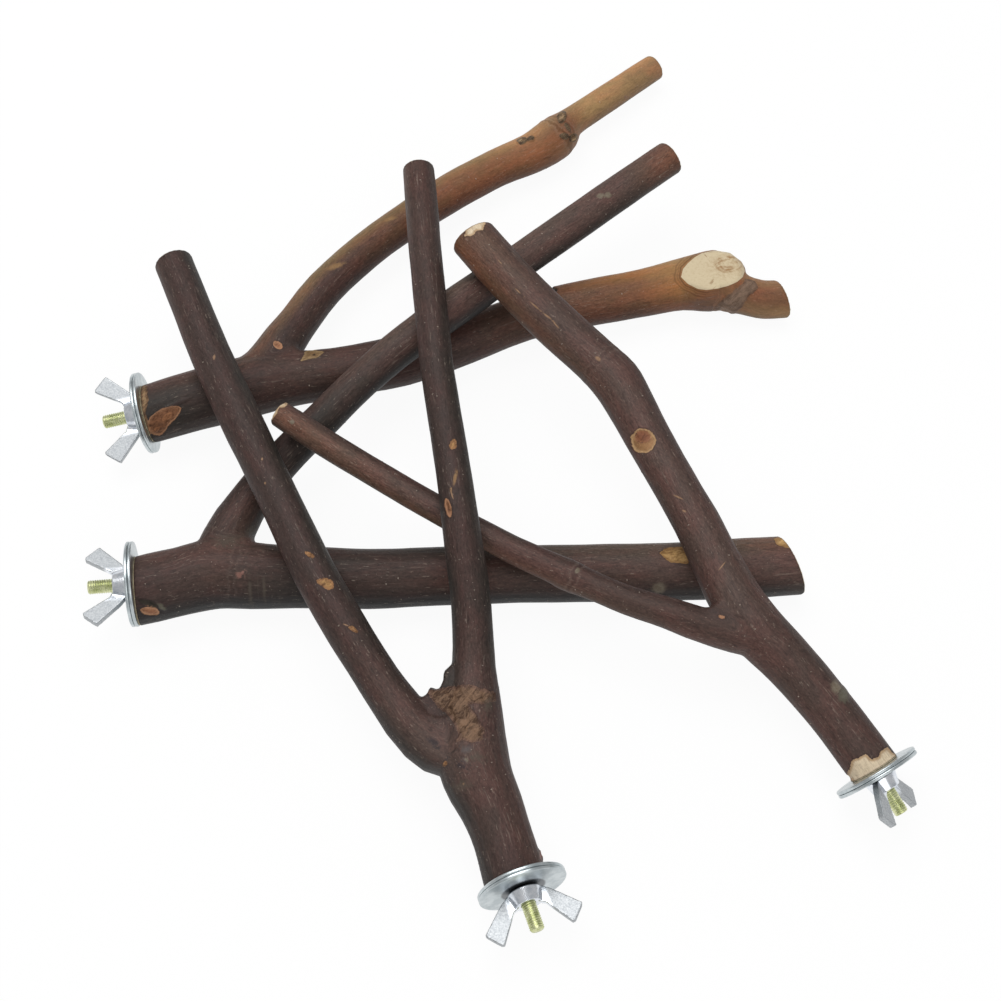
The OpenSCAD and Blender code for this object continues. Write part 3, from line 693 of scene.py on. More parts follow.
patchKinds = {  # screen colours of edge and heart, mm sunk, and from 0 to 1: fibres, pale rim, crossed strands
    "wound": ((136, 98, 72), (120, 80, 54), 0.3, (0.9, 0.9, 0.6)),
    "core": ((134, 90, 60), (138, 92, 60), -0.15, (0.8, 0.4, 0.6)),
    "socket": ((164, 132, 96), (150, 112, 76), 0.7, (0.4, 0.5, 0.6)),
    # painted shadow in the upper part of the socket
    "socketShadedTop": ((134, 90, 64), (118, 74, 52), 0.1, (0.5, 0.0, 0.8)),
    "frayed": ((112, 86, 62), (146, 118, 86), 0.0, (0.9, 0.0, 1.0)),
    "burl": ((140, 102, 68), (158, 121, 78), 0.15, (1.0, 0.0, 0.8)),
    "bud": ((150, 110, 82), (136, 90, 62), 0.15, (0.6, 0.6, 0.6)),
    "hollow": ((50, 44, 36), (28, 25, 22), 0.7, (0.2, 0.0, 0.0)),
    "peeled": ((134, 110, 78), (116, 90, 60), 0.2, (0.7, 0.3, 0.5)),
    "knotty": ((98, 80, 60), (138, 114, 86), -0.5, (1.0, 0.0, 1.0)),
    "golden": ((140, 106, 66), (176, 140, 90), 0.25, (0.8, 0.4, 0.4)),
    "bare": ((176, 148, 116), (212, 194, 166), 0.3, (0.35, 0.1, 0.3)),
    "torn": ((100, 76, 64), (108, 84, 66), 0.3, (1.0, 0.0, 1.0)),
    "collar": ((104, 80, 64), (118, 96, 80), -0.2, (0.6, 0.0, 1.0)),
}

# the sawn face of a pruned side shoot: its outline, and the heart of its rings, in the picture
pruned = {
    "far": {"outline": [(681, 277), (683, 269), (688, 263), (695, 257), (702, 253), (712, 251),
                        (721, 250.5), (731, 253), (738, 258), (743, 264), (745, 271), (743, 277),
                        (737, 282), (728, 286), (718, 288.5), (707, 290), (698, 289), (688, 284)],
            "heart": (728, 264)},
}

# rags of bark that stand out between the limbs or at an edge: outline in the picture, height and half
# thickness in mm
rags = {
    "front": [([(458, 658), (452, 664), (444, 672), (443.5, 680), (440, 688.5), (437, 690), (430.5, 688),
                (428, 691), (427, 695), (423, 696.5), (418, 700), (430, 718), (446, 726), (464, 712),
                (464, 664)], 27.0, 3.0),
              ([(534, 847), (537, 850), (541, 850.5), (541, 854.5), (544, 858), (540, 862),
                (528, 860)], 17.0, 0.8)],
}

# rings round a limb at its nodes: x and y in the picture, how dark
nodeRings = {
    "far": [(560, 128, 0.7), (573, 130, 0.55)],
    "left": [(214, 530, 0.25)],
    "right": [(596, 362, 0.3), (577, 571, 0.5)],
    "front": [],
}

woodShape = {
    "voxel": 0.62,  # mm, how finely the skin is cut
    "smoothing": 7,
    "lump": 0.14,  # mm, slow unevenness
    "lumpScale": 0.09,
    "ridge": 0.05,  # mm, ridges along the grain
    "ridgeScale": (0.55, 0.55, 0.06),
    "limbBlend": 0.25,  # share of the girth over which the stem's bark runs into the arm's
    "paintedUndersideShade": 0.4,  # painted shade: how much darker the bark is painted where it faces down
    "sawnMargin": 0.35,  # mm deep that the sawn wood's colour reaches
    "sawnHold": (0.5, 1.6),  # mm under a sawn face: sharp above the first, free to move below the second
    "markReach": 12,  # mm before and behind a mark's middle that it can colour
    "patchReach": 28,  # mm from the middle of a patch or a ring
    "ringReach": 26,
    "ringHeight": 0.22,  # mm
    "strandHeight": 0.9,
    "poreMargin": 0.8,  # mm round a patch or a sawn face without pores, and how deep below the face
    "poreDepth": 1.2,
}


def layMarks(name, mesh, tree, points, normals):
    # each mark is an ellipse seen from the camera; the shader colours it, and it sinks or stands up
    place = np.tile([9.0, 9.0, 0.0], (len(points), 1))
    colour, look = np.zeros((len(points), 3)), np.zeros((len(points), 3))
    nearest, sunk = np.full(len(points), 3.0), np.zeros(len(points))
    for x, y, long, short, turn, kind in marks[name]:
        spot = landOn(tree, x, y)
        scale = (spot - eye).dot(sight) / view["focal"] / mm  # mm in a pixel there
        angle = math.radians(turn)
        right = math.cos(angle) * np.array((1.0, 0.0, 0.0)) + math.sin(angle) * upRow
        up = math.cos(angle) * upRow - math.sin(angle) * np.array((1.0, 0.0, 0.0))
        away = points - np.array(spot) / mm
        u, v = away @ right / (long * scale), away @ up / (short * scale)
        reach = np.hypot(u, v)
        facing = (normals @ sightRow < 0.25) & (np.abs(away @ sightRow) < woodShape["markReach"])
        screenColour, ring, soft, deep, lip = markKinds[kind]
        sunk += facing * deep * (1 - smoothStep(0.6, 1.0, reach))
        sunk -= facing * lip * np.exp(-((reach - 1.15) / 0.22) ** 2)
        here = facing & (reach < nearest)
        nearest[here] = reach[here]
        place[here] = np.stack([u, v, np.ones(len(u))], 1)[here]
        colour[here] = shade(*screenColour)[:3]
        look[here] = (ring, soft, 0.0)
    storeVector(mesh, "markPlace", place)
    storeColour(mesh, "markColour", colour)
    storeVector(mesh, "markLook", look)
    return sunk


def inPicture(points):  # where points in mm fall in the picture, and how far off they are in metres
    away = points * mm - np.array(eye)
    far = away @ sightRow
    half = view["picture"] / 2
    return np.stack([half + view["focal"] * away[:, 0] / far,
                     half - view["focal"] * (away @ upRow) / far], 1), far


def outlineOf(shape):  # an outline as it is, or an oval drawn as one
    if isinstance(shape, list):
        return np.array(shape, float)
    x, y, long, short, turn = shape
    angle, around = math.radians(turn), np.linspace(0, 2 * math.pi, 24, endpoint=False)
    a, b = long * np.cos(around), short * np.sin(around)
    return np.stack([x + a * math.cos(angle) - b * math.sin(angle),
                     y - a * math.sin(angle) - b * math.cos(angle)], 1)


def layPatches(name, mesh, tree, points, normals):
    # stores how far inside a patch each point lies, in mm, and the patch's colours and kind of surface
    edge = np.full(len(points), -9.0)
    rim, heart, look = [np.zeros((len(points), 3)) for _ in range(3)]
    sunk = np.zeros(len(points))
    seen, far = inPicture(points)
    for kind, shape in patches[name]:
        outline = outlineOf(shape)
        spot = landOn(tree, *np.mean(outline, axis=0))
        away = np.linalg.norm(points - np.array(spot) / mm, axis=1)
        inside = edgeDistance(seen, outline) * far / view["focal"] / mm
        inside = np.minimum(inside, (0.35 - normals @ sightRow) * 5)  # closes round the back
        inside[away > woodShape["patchReach"]] = -9
        edgeColour, heartColour, deep, kindLook = patchKinds[kind]
        sunk += deep * smoothStep(-0.1, 0.5, inside)
        here = inside > np.minimum(edge, 0.0)  # a later patch lies on an earlier one
        edge[here], look[here] = inside[here], kindLook
        rim[here], heart[here] = shade(*edgeColour)[:3], shade(*heartColour)[:3]
    strands = lumps(points @ np.array([(0.42, -0.16, 0), (0.34, 0.14, 0), (0, 0, 0.5)]), 1.0, 3.0)
    sunk += strands * look[:, 0] * look[:, 2] * woodShape["strandHeight"] * smoothStep(0.0, 0.6, edge)
    storeNumber(mesh, "patchEdge", edge)
    storeColour(mesh, "patchRim", rim)
    storeColour(mesh, "patchHeart", heart)
    storeVector(mesh, "patchLook", look)
    return sunk, edge


def addRag(mesh, outline, height, half):  # a slab seen through its outline, later melted into the skin
    middle = []
    for x, y in outline:
        ray = pixelRay(x, y)
        middle.append(eye + ray * ((height * mm - eye.z) / ray.z))
    with edited(mesh) as bm:
        near, back = [[bm.verts.new(p + sight * side * half * mm) for p in middle] for side in (-1, 1)]
        made = [bm.faces.new(near), bm.faces.new(list(reversed(back)))]
        for i in range(len(middle)):
            j = (i + 1) % len(middle)
            made.append(bm.faces.new((near[j], near[i], back[i], back[j])))
        bmesh.ops.recalc_face_normals(bm, faces=made)
        bmesh.ops.triangulate(bm, faces=made)


def layRings(name, mesh, tree, points, grain):
    # stores how far along the limb each point lies from the nearest ring, and how dark that ring is
    ring, raised = np.tile([9.0, 0.0, 0.0], (len(points), 1)), np.zeros(len(points))
    for x, y, dark in nodeRings[name]:
        away = np.linalg.norm(points - np.array(landOn(tree, x, y)) / mm, axis=1)
        along = grain[:, 2] - grain[away.argmin(), 2]
        near = away < woodShape["ringReach"]
        here = (np.abs(along) < np.abs(ring[:, 0])) & near
        ring[here] = np.stack([along, np.full(len(along), dark), along * 0], 1)[here]
        raised += np.where(near, woodShape["ringHeight"] * dark * np.exp(-(along / 1.1) ** 2), 0)
    storeVector(mesh, "nodeRing", ring)
    return raised


def layPruned(face, points, normals, cut, cutEdge):
    # the sawn wood fills the outline that the picture shows, with its rings round the heart
    outline, heart = np.array(face["outline"]), np.array(face["heart"])
    seen, far = inPicture(points)
    inside = edgeDistance(seen, outline) * far / view["focal"] / mm
    near = (normals @ sightRow < 0) & (inside > -6)  # also the bark beside it, for its grooves
    size = (outline.max(0) - outline.min(0)) / 2
    across = (seen - heart) / size
    cut[near, 0], cut[near, 1] = across[near, 0], across[near, 1]
    cut[near, 2] = np.where(inside[near] > -1.5, 0.0, 5.0)
    cutEdge[near] = inside[near]


def makeBranch(name):
    plan = perches[name]
    mesh = mergedCopy(name + "_branch")
    flats = flatFaces(mesh)
    for rag in rags.get(name, []):
        addRag(mesh, *rag)
    piece = remeshed(name + "Wood", mesh, woodShape["voxel"] * mm)
    mesh = piece.data
    points = vectorsOf(mesh, "co") / mm

    # where on the nearest sawn face each point lies, 1 at its edge, and how deep under it; 9 is far from any
    cut = np.tile([9.0, 9.0, 9.0], (len(points), 1))
    for face in flats:
        away = points - face["centre"]
        x, y = away @ face["first"] / face["half"][0], away @ face["second"] / face["half"][1]
        depth = -(away @ face["normal"])
        here = (np.abs(depth) < 4) & (np.hypot(x, y) < 1.5) & (depth < cut[:, 2])
        cut[here] = np.stack([x, y, depth], 1)[here]
    hold = smoothStep(*woodShape["sawnHold"], np.abs(cut[:, 2]))
    relax(mesh, woodShape["smoothing"], hold)
    points, normals = vectorsOf(mesh, "co") / mm, vectorsOf(mesh, "normal")
    cutEdge = np.where(cut[:, 2] < 8, 1.03 - np.hypot(cut[:, 0], cut[:, 1]), -9.0) * 8
    if name in pruned:
        layPruned(pruned[name], points, normals, cut, cutEdge)

    stem = LimbLine(limbRows(name, plan["stem"]))
    arm = LimbLine(limbRows(name, plan["stem"][:plan["fork"]] + plan["arm"]))
    stemGrain, stemShare, stemNearest = stem.measure(points)
    armGrain, armShare, armNearest = arm.measure(points)
    onArm = smoothStep(-woodShape["limbBlend"], woodShape["limbBlend"], stemShare - armShare)
    grain = stemGrain + (armGrain - stemGrain) * onArm[:, None]
    # the tone: the bark's own colour with painted light and shade across each limb
    toneAndShade = tonesOn(barkTonesAndShade[name]["stem"], stemGrain)
    toneAndShade += (tonesOn(barkTonesAndShade[name]["arm"], armGrain) - toneAndShade) * onArm[:, None]
    # painted shade: the bark's colour is darkened where its surface faces down
    toneAndShade *= 1 - woodShape["paintedUndersideShade"] * smoothStep(-0.3, 0.5, -normals[:, 2])[:, None]

    tree = BVHTree.FromPolygons((points * mm).tolist(), [list(f.vertices) for f in mesh.polygons])
    sunk = layMarks(name, mesh, tree, points, normals)
    patchSunk, patchEdge = layPatches(name, mesh, tree, points, normals)
    sunk += patchSunk
    sunk -= layRings(name, mesh, tree, points, grain)

    seed = 10.0 * list(perches).index(name)
    raised = woodShape["lump"] * lumps(points, woodShape["lumpScale"], seed)
    raised += woodShape["ridge"] * lumps(grain * woodShape["ridgeScale"], 1.0, seed + 5)
    points += normals * ((raised - sunk) * hold)[:, None]
    setPoints(mesh, points * mm)

    way = np.where(onArm[:, None] > 0.5, arm.tangent[armNearest], stem.tangent[stemNearest])
    storeVector(mesh, "limbWay", way)
    margin = -woodShape["poreMargin"]
    outside = (patchEdge.astype(np.float32) < margin) & (cutEdge < margin)
    storeNumber(mesh, "openBark", outside & (cut[:, 2] > woodShape["poreDepth"]))
    storeVector(mesh, "grain", grain)
    storeVector(mesh, "cutPlace", cut)
    storeNumber(mesh, "cutEdge", cutEdge)
    storeColour(mesh, "toneAndShade", toneAndShade)
    smoothShaded(mesh)
    mesh.materials.append(barkFinish(name))
    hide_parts(name + "_branch")
    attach(piece, name + "_perch")
    print("branch", name, len(mesh.polygons), "faces,", len(flats), "sawn ends")
    return piece


# noise along the grain: repeats in a mm across and along, place in the noise, detail, roughness, distortion
barkNoise = {
    "fine": ((1.8, 1.8, 1.0), 0, 4.0, 0.7, 0.0),
    "line": ((1.1, 1.1, 0.28), 8, 5.0, 0.65, 0.6),
    "slow": ((0.13, 0.13, 0.06), 3, 4.0, 0.6, 0.0),
    "streak": ((1.5, 1.5, 0.1), 6, 4.0, 0.6, 0.4),
    "scratch": ((1.6, 1.6, 0.3), 1, 2.0, 0.5, 0.3),
    "wander": ((0.35, 0.35, 0.2), 5, 3.0, 0.6, 0.0),
    "fibre": ((1.5, 1.5, 0.3), 2, 5.0, 0.7, 0.0),
    "wobble": ((0.9, 0.9, 0.7), 4, 5.0, 0.7, 0.0),
}

barkLook = {
    "fineDepth": 1.7,
    "lineDepth": 1.3,
    "paleCalm": 0.45,  # how much weaker the grain is on pale wood
    "dotScale": (0.62, 0.62, 0.5),
    "dotSize": 0.13,
    "dark": (0.5, 0.47, 0.46, 1),  # these three multiply the tone
    "warm": (1.1, 0.96, 0.92, 1),
    "cool": (0.88, 0.93, 0.88, 1),
    "pale": (206, 190, 172),  # mixed into the tone by paleness for streaks, scratches and dots
    "paleness": 0.34,
    "streaksAndSheen": 0.36,  # from here to ringPale: how strong each of them is; the streaks are partly painted sheen
    "furrows": 0.65,
    "scratches": 0.55,
    "dots": 0.75,
    "ringPale": 0.25,
    "fibreGap": (0.4, 0.34, 0.3, 1),  # these three multiply the colour of a patch or mark
    "strandTop": (1.5, 1.5, 1.48, 1),
    "markDeep": (0.5, 0.42, 0.38, 1),
    "weaveTurn": 0.75,  # radians
    "strandScale": (900.0, 300.0, 700.0),  # in a metre
    "bandScale": (420.0, 120.0, 300.0),
    "weaveContrast": 1.8,
    "sawnWood": (206, 190, 158),
    "sawnRing": (152, 116, 76),
    "ringCount": 46.0,
    "ringWander": 16.0,
    "grooves": ((-0.8, 0.9), (-1.6, 0.45), (-2.6, 0.6)),  # mm from a sawn face, and how dark
    "roughness": (0.4, 0.66),
    "gloss": 0.22,
    "bump": 0.5,
    "bumpHeight": 0.0004,
}


def barkFinish(name):
    look, margin = barkLook, woodShape["sawnMargin"]
    shift = 7.0 * list(perches).index(name)

    def varying(net):
        grain, toneAndShade = net.attribute("grain"), net.attribute("toneAndShade", out="Color")
        fine, line, slow, streak, scratch, wander, fibre, wobble = [
            net.veins(grain, scale, shift + place, *kind) for scale, place, *kind in barkNoise.values()]
        dark, cool, warm = [net.multiply(toneAndShade, look[kind]) for kind in ("dark", "cool", "warm")]
        pale = net.blend(look["paleness"], toneAndShade, shade(*look["pale"]))

        # slow changes of colour, the grain, pale streaks that are partly painted sheen, dark furrows, pale
        # scratches and dots
        bark = net.blend(slow.step(0.36, 0.64), cool, warm)
        calm = 1 - net.parts(toneAndShade)[0].step(0.1, 0.24) * look["paleCalm"]
        for pattern, depth in ((fine, look["fineDepth"]), (line, look["lineDepth"])):
            bark = net.multiply(bark, (pattern - 0.5) * depth * calm + 1)
        # the pale streaks are partly the bark's own and partly painted sheen
        bark = net.blend(streak.step(0.58, 0.7) * slow.step(0.42, 0.6) * look["streaksAndSheen"], bark, pale)
        bark = net.blend((1 - line.step(0.32, 0.43)) * look["furrows"] * calm, bark, dark)
        bark = net.blend(scratch.step(0.63, 0.73) * fine.step(0.4, 0.6) * look["scratches"], bark, pale)
        dots = net.node("ShaderNodeTexVoronoi", None, {
            "Vector": net.stretch(grain, look["dotScale"], shift + 9), "Scale": 1.0}, out="Distance")
        dotSize = (slow - 0.35) * look["dotSize"] + (fine - 0.4) * look["dotSize"] * 0.8
        bark = net.blend((1 - (dots - dotSize).step(0.0, 0.07)) * look["dots"], bark, pale)

        # rings round a limb, dark with paler sides
        ringAt, ringDark = net.parts(net.attribute("nodeRing"))[:2]
        off = abs(ringAt + (wander - 0.5) * 4.0)
        bark = net.blend((1 - off.step(0.2, 0.9)) * ringDark * line.step(0.3, 0.55), bark, dark)
        sides = off.step(0.7, 1.1) * (1 - off.step(1.2, 2.2))
        bark = net.blend(sides * ringDark * look["ringPale"], bark, pale)

        # patches: fibres along the grain or crossed strands, for some a pale rim, and dark bark round them
        edge = net.attribute("patchEdge", out="Fac")
        fibres, rimmed, crossed = net.parts(net.attribute("patchLook"))
        turned = net.node("ShaderNodeVectorRotate", {"rotation_type": "Z_AXIS"}, {
            "Vector": net.node("ShaderNodeTexCoord", out="Object"), "Angle": look["weaveTurn"]})
        strand = net.veins(turned, look["strandScale"], shift, 6.0, 0.74, 2.4)
        band = net.veins(turned, look["bandScale"], shift + 4, 3.0, 0.6, 1.2)
        woven = (strand * 0.55 + band * 0.45 - 0.5) * look["weaveContrast"] + 0.5
        weave = fibre + (woven - fibre) * crossed
        ragged = edge + (wander - 0.5) * (2.2 - rimmed * 1.8) + (fine - 0.5) * 0.5
        rim, heart = net.attribute("patchRim", out="Color"), net.attribute("patchHeart", out="Color")
        body = net.blend(ragged.step(0.3, 1.3), rim, heart)
        body = net.blend((1 - weave.step(0.39, 0.52)) * fibres, body, net.multiply(body, look["fibreGap"]))
        body = net.blend(weave.step(0.53, 0.64) * fibres * 0.9, body, net.multiply(body, look["strandTop"]))
        onRim = (1 - abs(ragged - 0.3).step(0.08, 0.26)) * rimmed * 0.7
        body = net.blend(onRim, body, net.multiply(rim, look["strandTop"]))
        bark = net.blend(ragged.step(-0.6, -0.15) * (1 - crossed * 0.75) * 0.6, bark, dark)
        bark = net.blend(ragged.step(-0.1, 0.12), bark, body)

        # sawn faces: rings round the heart under a veil, and grooves and a dark edge in the bark beside them
        cutPlace, cutEdge = net.attribute("cutPlace"), net.attribute("cutEdge", out="Fac")
        x, y, depth = net.parts(cutPlace)
        out = (x * x + y * y) ** 0.5
        rings = net.veins(cutPlace, (1.6, 1.6, 0.0), shift, 3.0, 0.55)
        veil = net.veins(cutPlace, (3.4, 3.4, 0.0), shift + 2, 5.0, 0.7, 1.0)
        ring = net.maths("SINE", out * look["ringCount"] + rings * look["ringWander"]) * 0.5 + 0.5
        middle = (1 - out.step(0.25, 0.6)) * (out.step(0.04, 0.22) * 0.6 + 0.4)
        stained = (ring * 0.5 + 0.35) * veil.step(0.3, 0.55) * (middle * 0.8 + 0.04)
        stained = stained + (1 - out.step(0.3, 1.0)) * veil.step(0.44, 0.66) * 0.42
        ringColour = shade(*look["sawnRing"])
        sawn = net.blend(stained, shade(*look["sawnWood"]), ringColour)
        sawn = net.blend((fine - 0.45).step(0.0, 0.3) * 0.25, sawn, ringColour)
        for gap, strength in look["grooves"]:
            away = abs(cutEdge - gap + (rings - 0.5) * 1.4)
            bark = net.blend((1 - away.step(0.12, 0.42)) * strength * (1 - x.step(-0.9, 0.0)), bark, dark)
        beside = cutEdge.step(-0.45, -0.05) * (1 - depth.step(margin + 0.1, margin + 0.5))
        bark = net.blend(beside * 0.55, bark, dark)
        onCut = (1 - depth.step(margin - 0.08, margin + 0.08)) * cutEdge.step(-0.06, 0.06)
        wood = net.blend(onCut, bark, sawn)

        # marks: a colour that is deeper in places and fades out, for some with a dark ring and a pale one
        u, v, near = net.parts(net.attribute("markPlace"))
        ringed, soft = net.parts(net.attribute("markLook"))[:2]
        markTone = net.attribute("markColour", out="Color")
        reach = (u * u + v * v) ** 0.5 + (wobble - 0.5) * soft * 2.4
        there = near.step(0.88, 0.98)
        deep = (1 - wobble.step(0.38, 0.6)) * 0.55
        body = net.blend(deep, markTone, net.multiply(markTone, look["markDeep"]))
        outer = (reach - 0.7 + soft * 0.5) / (soft * 0.5 + 0.3)
        fade = (1 - outer.step(0.0, 1.0)) * (1 - soft.step(0.75, 1.2) * 0.3)
        wood = net.blend(there * fade, wood, body)
        there = there * ringed
        wood = net.blend(there * reach.step(0.85, 0.97) * (1 - reach.step(1.02, 1.22)) * 0.8, wood, dark)
        wood = net.blend(there * reach.step(1.2, 1.35) * (1 - reach.step(1.4, 1.8)) * 0.3, wood, pale)

        rough = net.mottle(slow * 0.4 + fine * 0.6, *look["roughness"])
        height = fine * 0.5 + line * 0.7 + slow * 0.3 + weave * edge.step(-0.2, 0.2) * fibres * 1.6
        bump = net.node("ShaderNodeBump", None, {
            "Strength": look["bump"], "Distance": look["bumpHeight"], "Height": height})
        return {"Base Color": wood, "Roughness": rough, "Normal": bump}

    return newFinish(name + "Bark", {"Specular IOR Level": look["gloss"]}, varying)


fastening = {  # in mm, from the sawn butt outwards along the bolt
    "nutAt": 2.5,
    "boltTip": 16.9,
    "boltStart": -24.0,
    "crest": 2.5,
    "core": 2.2,
    "pitch": 0.8,
    "chamfer": 0.6,
    "rowsPerPitch": 10,  # these two are counts
    "around": 40,
    "washerRadius": 15.0,
    "washerHole": 2.65,
    "washerThickness": 1.2,
    "washerPlaces": {"inner": 0.0, "outer": 1.25},
    "washerEdge": 0.42,  # rounding of the rim, half of it at the hole
    "washerBends": 5,  # facets in a rounded corner
    "washerAround": 96,
    "nutVoxel": 0.24,
    "nutSmoothing": 3,
}


def boltFrame(name):  # z runs out of the butt along the bolt
    joint = next(j for j in frame["record"]["behaviour"]["joints"] if j["name"] == name + "_nut_turn")
    out = Vector(joint["axis"]).normalized()
    start = Vector(joint["pos_m"]) - out * fastening["nutAt"] * mm
    turn = Vector((0, 0, 1)).rotation_difference(out).to_matrix().to_4x4()
    return Matrix.Translation(start) @ turn


def metalLook(name, look):
    def varying(net):
        where = net.node("ShaderNodeTexCoord", out="Object")
        cloud = net.cloud(where, look["scale"], 4.0, 0.6)
        fine = net.cloud(where, look["scale"] * 6, 3.0, 0.6)
        tint = net.blend(cloud.step(0.35, 0.65), shade(*look["colour"]), shade(*look["shadow"]))
        rough = net.mottle(fine, *look["roughness"])
        if "foot" in look:  # painted shade: a grey-black ring round the nut's foot on a washer
            edge = net.attribute("fromAxis", out="Fac") + (cloud - 0.5) * 1.2
            film = 1 - edge.step(look["foot"] - 0.5, look["foot"] + 0.5)
            tint = net.blend(film, tint, shade(*look["film"]))
        if "wing" in look:  # the cast wings are matte and whitish, the turned boss is bright
            away, boss = net.attribute("fromAxis", out="Fac"), look["bossRadius"]
            wing = away.step(boss, boss + 1.5)
            flat = net.blend(fine.step(0.35, 0.7), shade(*look["wing"]), shade(*look["wingShadow"]))
            tint = net.blend(wing, tint, flat)
            rough = rough + wing * look["wingRoughness"]
        dent = net.node("ShaderNodeBump", None, {
            "Strength": look["bump"], "Distance": 0.0002, "Height": cloud + fine * 0.5})
        return {"Base Color": tint, "Roughness": rough, "Normal": dent}
    return newFinish(name, {"Metallic": 1.0}, varying)


metals = {
    "yellowZinc": {"colour": (224, 226, 182), "shadow": (182, 188, 132), "roughness": (0.3, 0.42),
                   "scale": 420.0, "bump": 0.08},
    # brightZinc's grey-black ring round the nut's foot is painted shade
    "brightZinc": {"colour": (204, 211, 213), "shadow": (178, 187, 190), "roughness": (0.24, 0.44),
                   "scale": 240.0, "bump": 0.12, "foot": 7.6, "film": (108, 111, 114)},
    "nutZinc": {"colour": (238, 241, 246), "shadow": (208, 214, 222), "roughness": (0.18, 0.3), "scale": 320.0,
                "bump": 0.15, "bossRadius": 6.2, "wing": (192, 195, 197), "wingShadow": (166, 170, 174),
                "wingRoughness": 0.3},
}
boltFinish, washerFinish, nutFinish = [metalLook(name, look) for name, look in metals.items()]


def newGrower(name, numbers, counts):
    # a tree of geometry nodes with named inputs: its net, the inputs as wires, their identifiers
    tree = bpy.data.node_groups.new(name, "GeometryNodeTree")
    for way in ("INPUT", "OUTPUT"):
        tree.interface.new_socket("Geometry", in_out=way, socket_type="NodeSocketGeometry")
    kinds = {label: "NodeSocketFloat" for label in numbers}
    kinds.update({label: "NodeSocketInt" for label in counts})
    kinds["Finish"] = "NodeSocketMaterial"
    identifiers = {label: tree.interface.new_socket(label, in_out="INPUT", socket_type=kind).identifier
                   for label, kind in kinds.items()}
    net, given = Net(tree), tree.nodes.new("NodeGroupInput")
    return net, {label: Wire(net, given.outputs[label]) for label in ("Geometry", *kinds)}, identifiers


def finishGrower(net, geometry, finish):
    real = net.node("GeometryNodeRealizeInstances", None, {"Geometry": geometry})
    painted = net.node("GeometryNodeSetMaterial", None, {"Geometry": real, "Material": finish})
    end = net.tree.nodes.new("NodeGroupOutput")
    net.tree.links.new(painted.socket, end.inputs["Geometry"])


def threadTree():
    # a closed rod along z with a triangular thread: a grid rolled up, its radius from the place
    net, value, identifiers = newGrower(
        "threadedRod", ("Start", "Tip", "Crest", "Core", "Pitch", "Chamfer"), ("Rows", "Around"))
    span = value["Tip"] - value["Start"]
    grid = net.node("GeometryNodeMeshGrid", None, {
        "Size X": span, "Size Y": 2 * math.pi, "Vertices X": value["Rows"], "Vertices Y": value["Around"]})
    x, angle = net.parts(net.node("GeometryNodeInputPosition"))[:2]
    along = x + span * 0.5 + value["Start"]
    turned = net.maths("FRACT", along / value["Pitch"] - angle / (2 * math.pi))
    saw = net.maths("PINGPONG", turned, 0.5) * 2
    girth = value["Core"] + (value["Crest"] - value["Core"]) * saw
    least = value["Crest"] - value["Chamfer"]
    girth = net.maths("MINIMUM", girth, value["Tip"] - along + least)
    girth = net.maths("MINIMUM", girth, along - value["Start"] + least)
    # the first and the last row are drawn in to the axis, which closes the rod
    girth = girth * net.maths("COMPARE", along, value["Start"] + span * 0.5, span * 0.49999)
    place = net.node("ShaderNodeCombineXYZ", None, {
        "X": girth * net.maths("COSINE", angle), "Y": girth * net.maths("SINE", angle), "Z": along})
    rolled = net.node("GeometryNodeSetPosition", None, {"Geometry": grid, "Position": place})
    closed = net.node("GeometryNodeMergeByDistance", None, {"Geometry": rolled, "Distance": 1e-6})
    finishGrower(net, closed, value["Finish"])
    return net.tree, identifiers


def grown(name, tree, identifiers, values, start=None):
    # the plain mesh that a geometry tree makes, with its inputs set by identifier
    carrier = newPiece(name, start or bpy.data.meshes.new(name))
    maker = carrier.modifiers.new("maker", "NODES")
    maker.node_group = tree
    for label, value in values.items():
        maker[identifiers[label]] = value
    graph = bpy.context.evaluated_depsgraph_get()
    mesh = bpy.data.meshes.new_from_object(carrier.evaluated_get(graph))
    carrier.modifiers.clear()
    carrier.data = mesh
    mesh.name = name
    return carrier


def outwards(mesh):
    with edited(mesh) as bm:
        bmesh.ops.recalc_face_normals(bm, faces=bm.faces)
    smoothShaded(mesh)


specks = {  # the pale raised pores of the bark
    "density": {"far": 5000.0, "left": 12000.0, "right": 14000.0, "front": 12000.0},  # in a square metre
    "seed": 4,
    "smallest": 0.1,  # mm, radius along the limb
    "largest": 0.3,
    "wide": 1.5,  # how much wider than long, across the limb
    "flat": 0.45,  # how much lower than long
    "pale": (196, 182, 166),
}


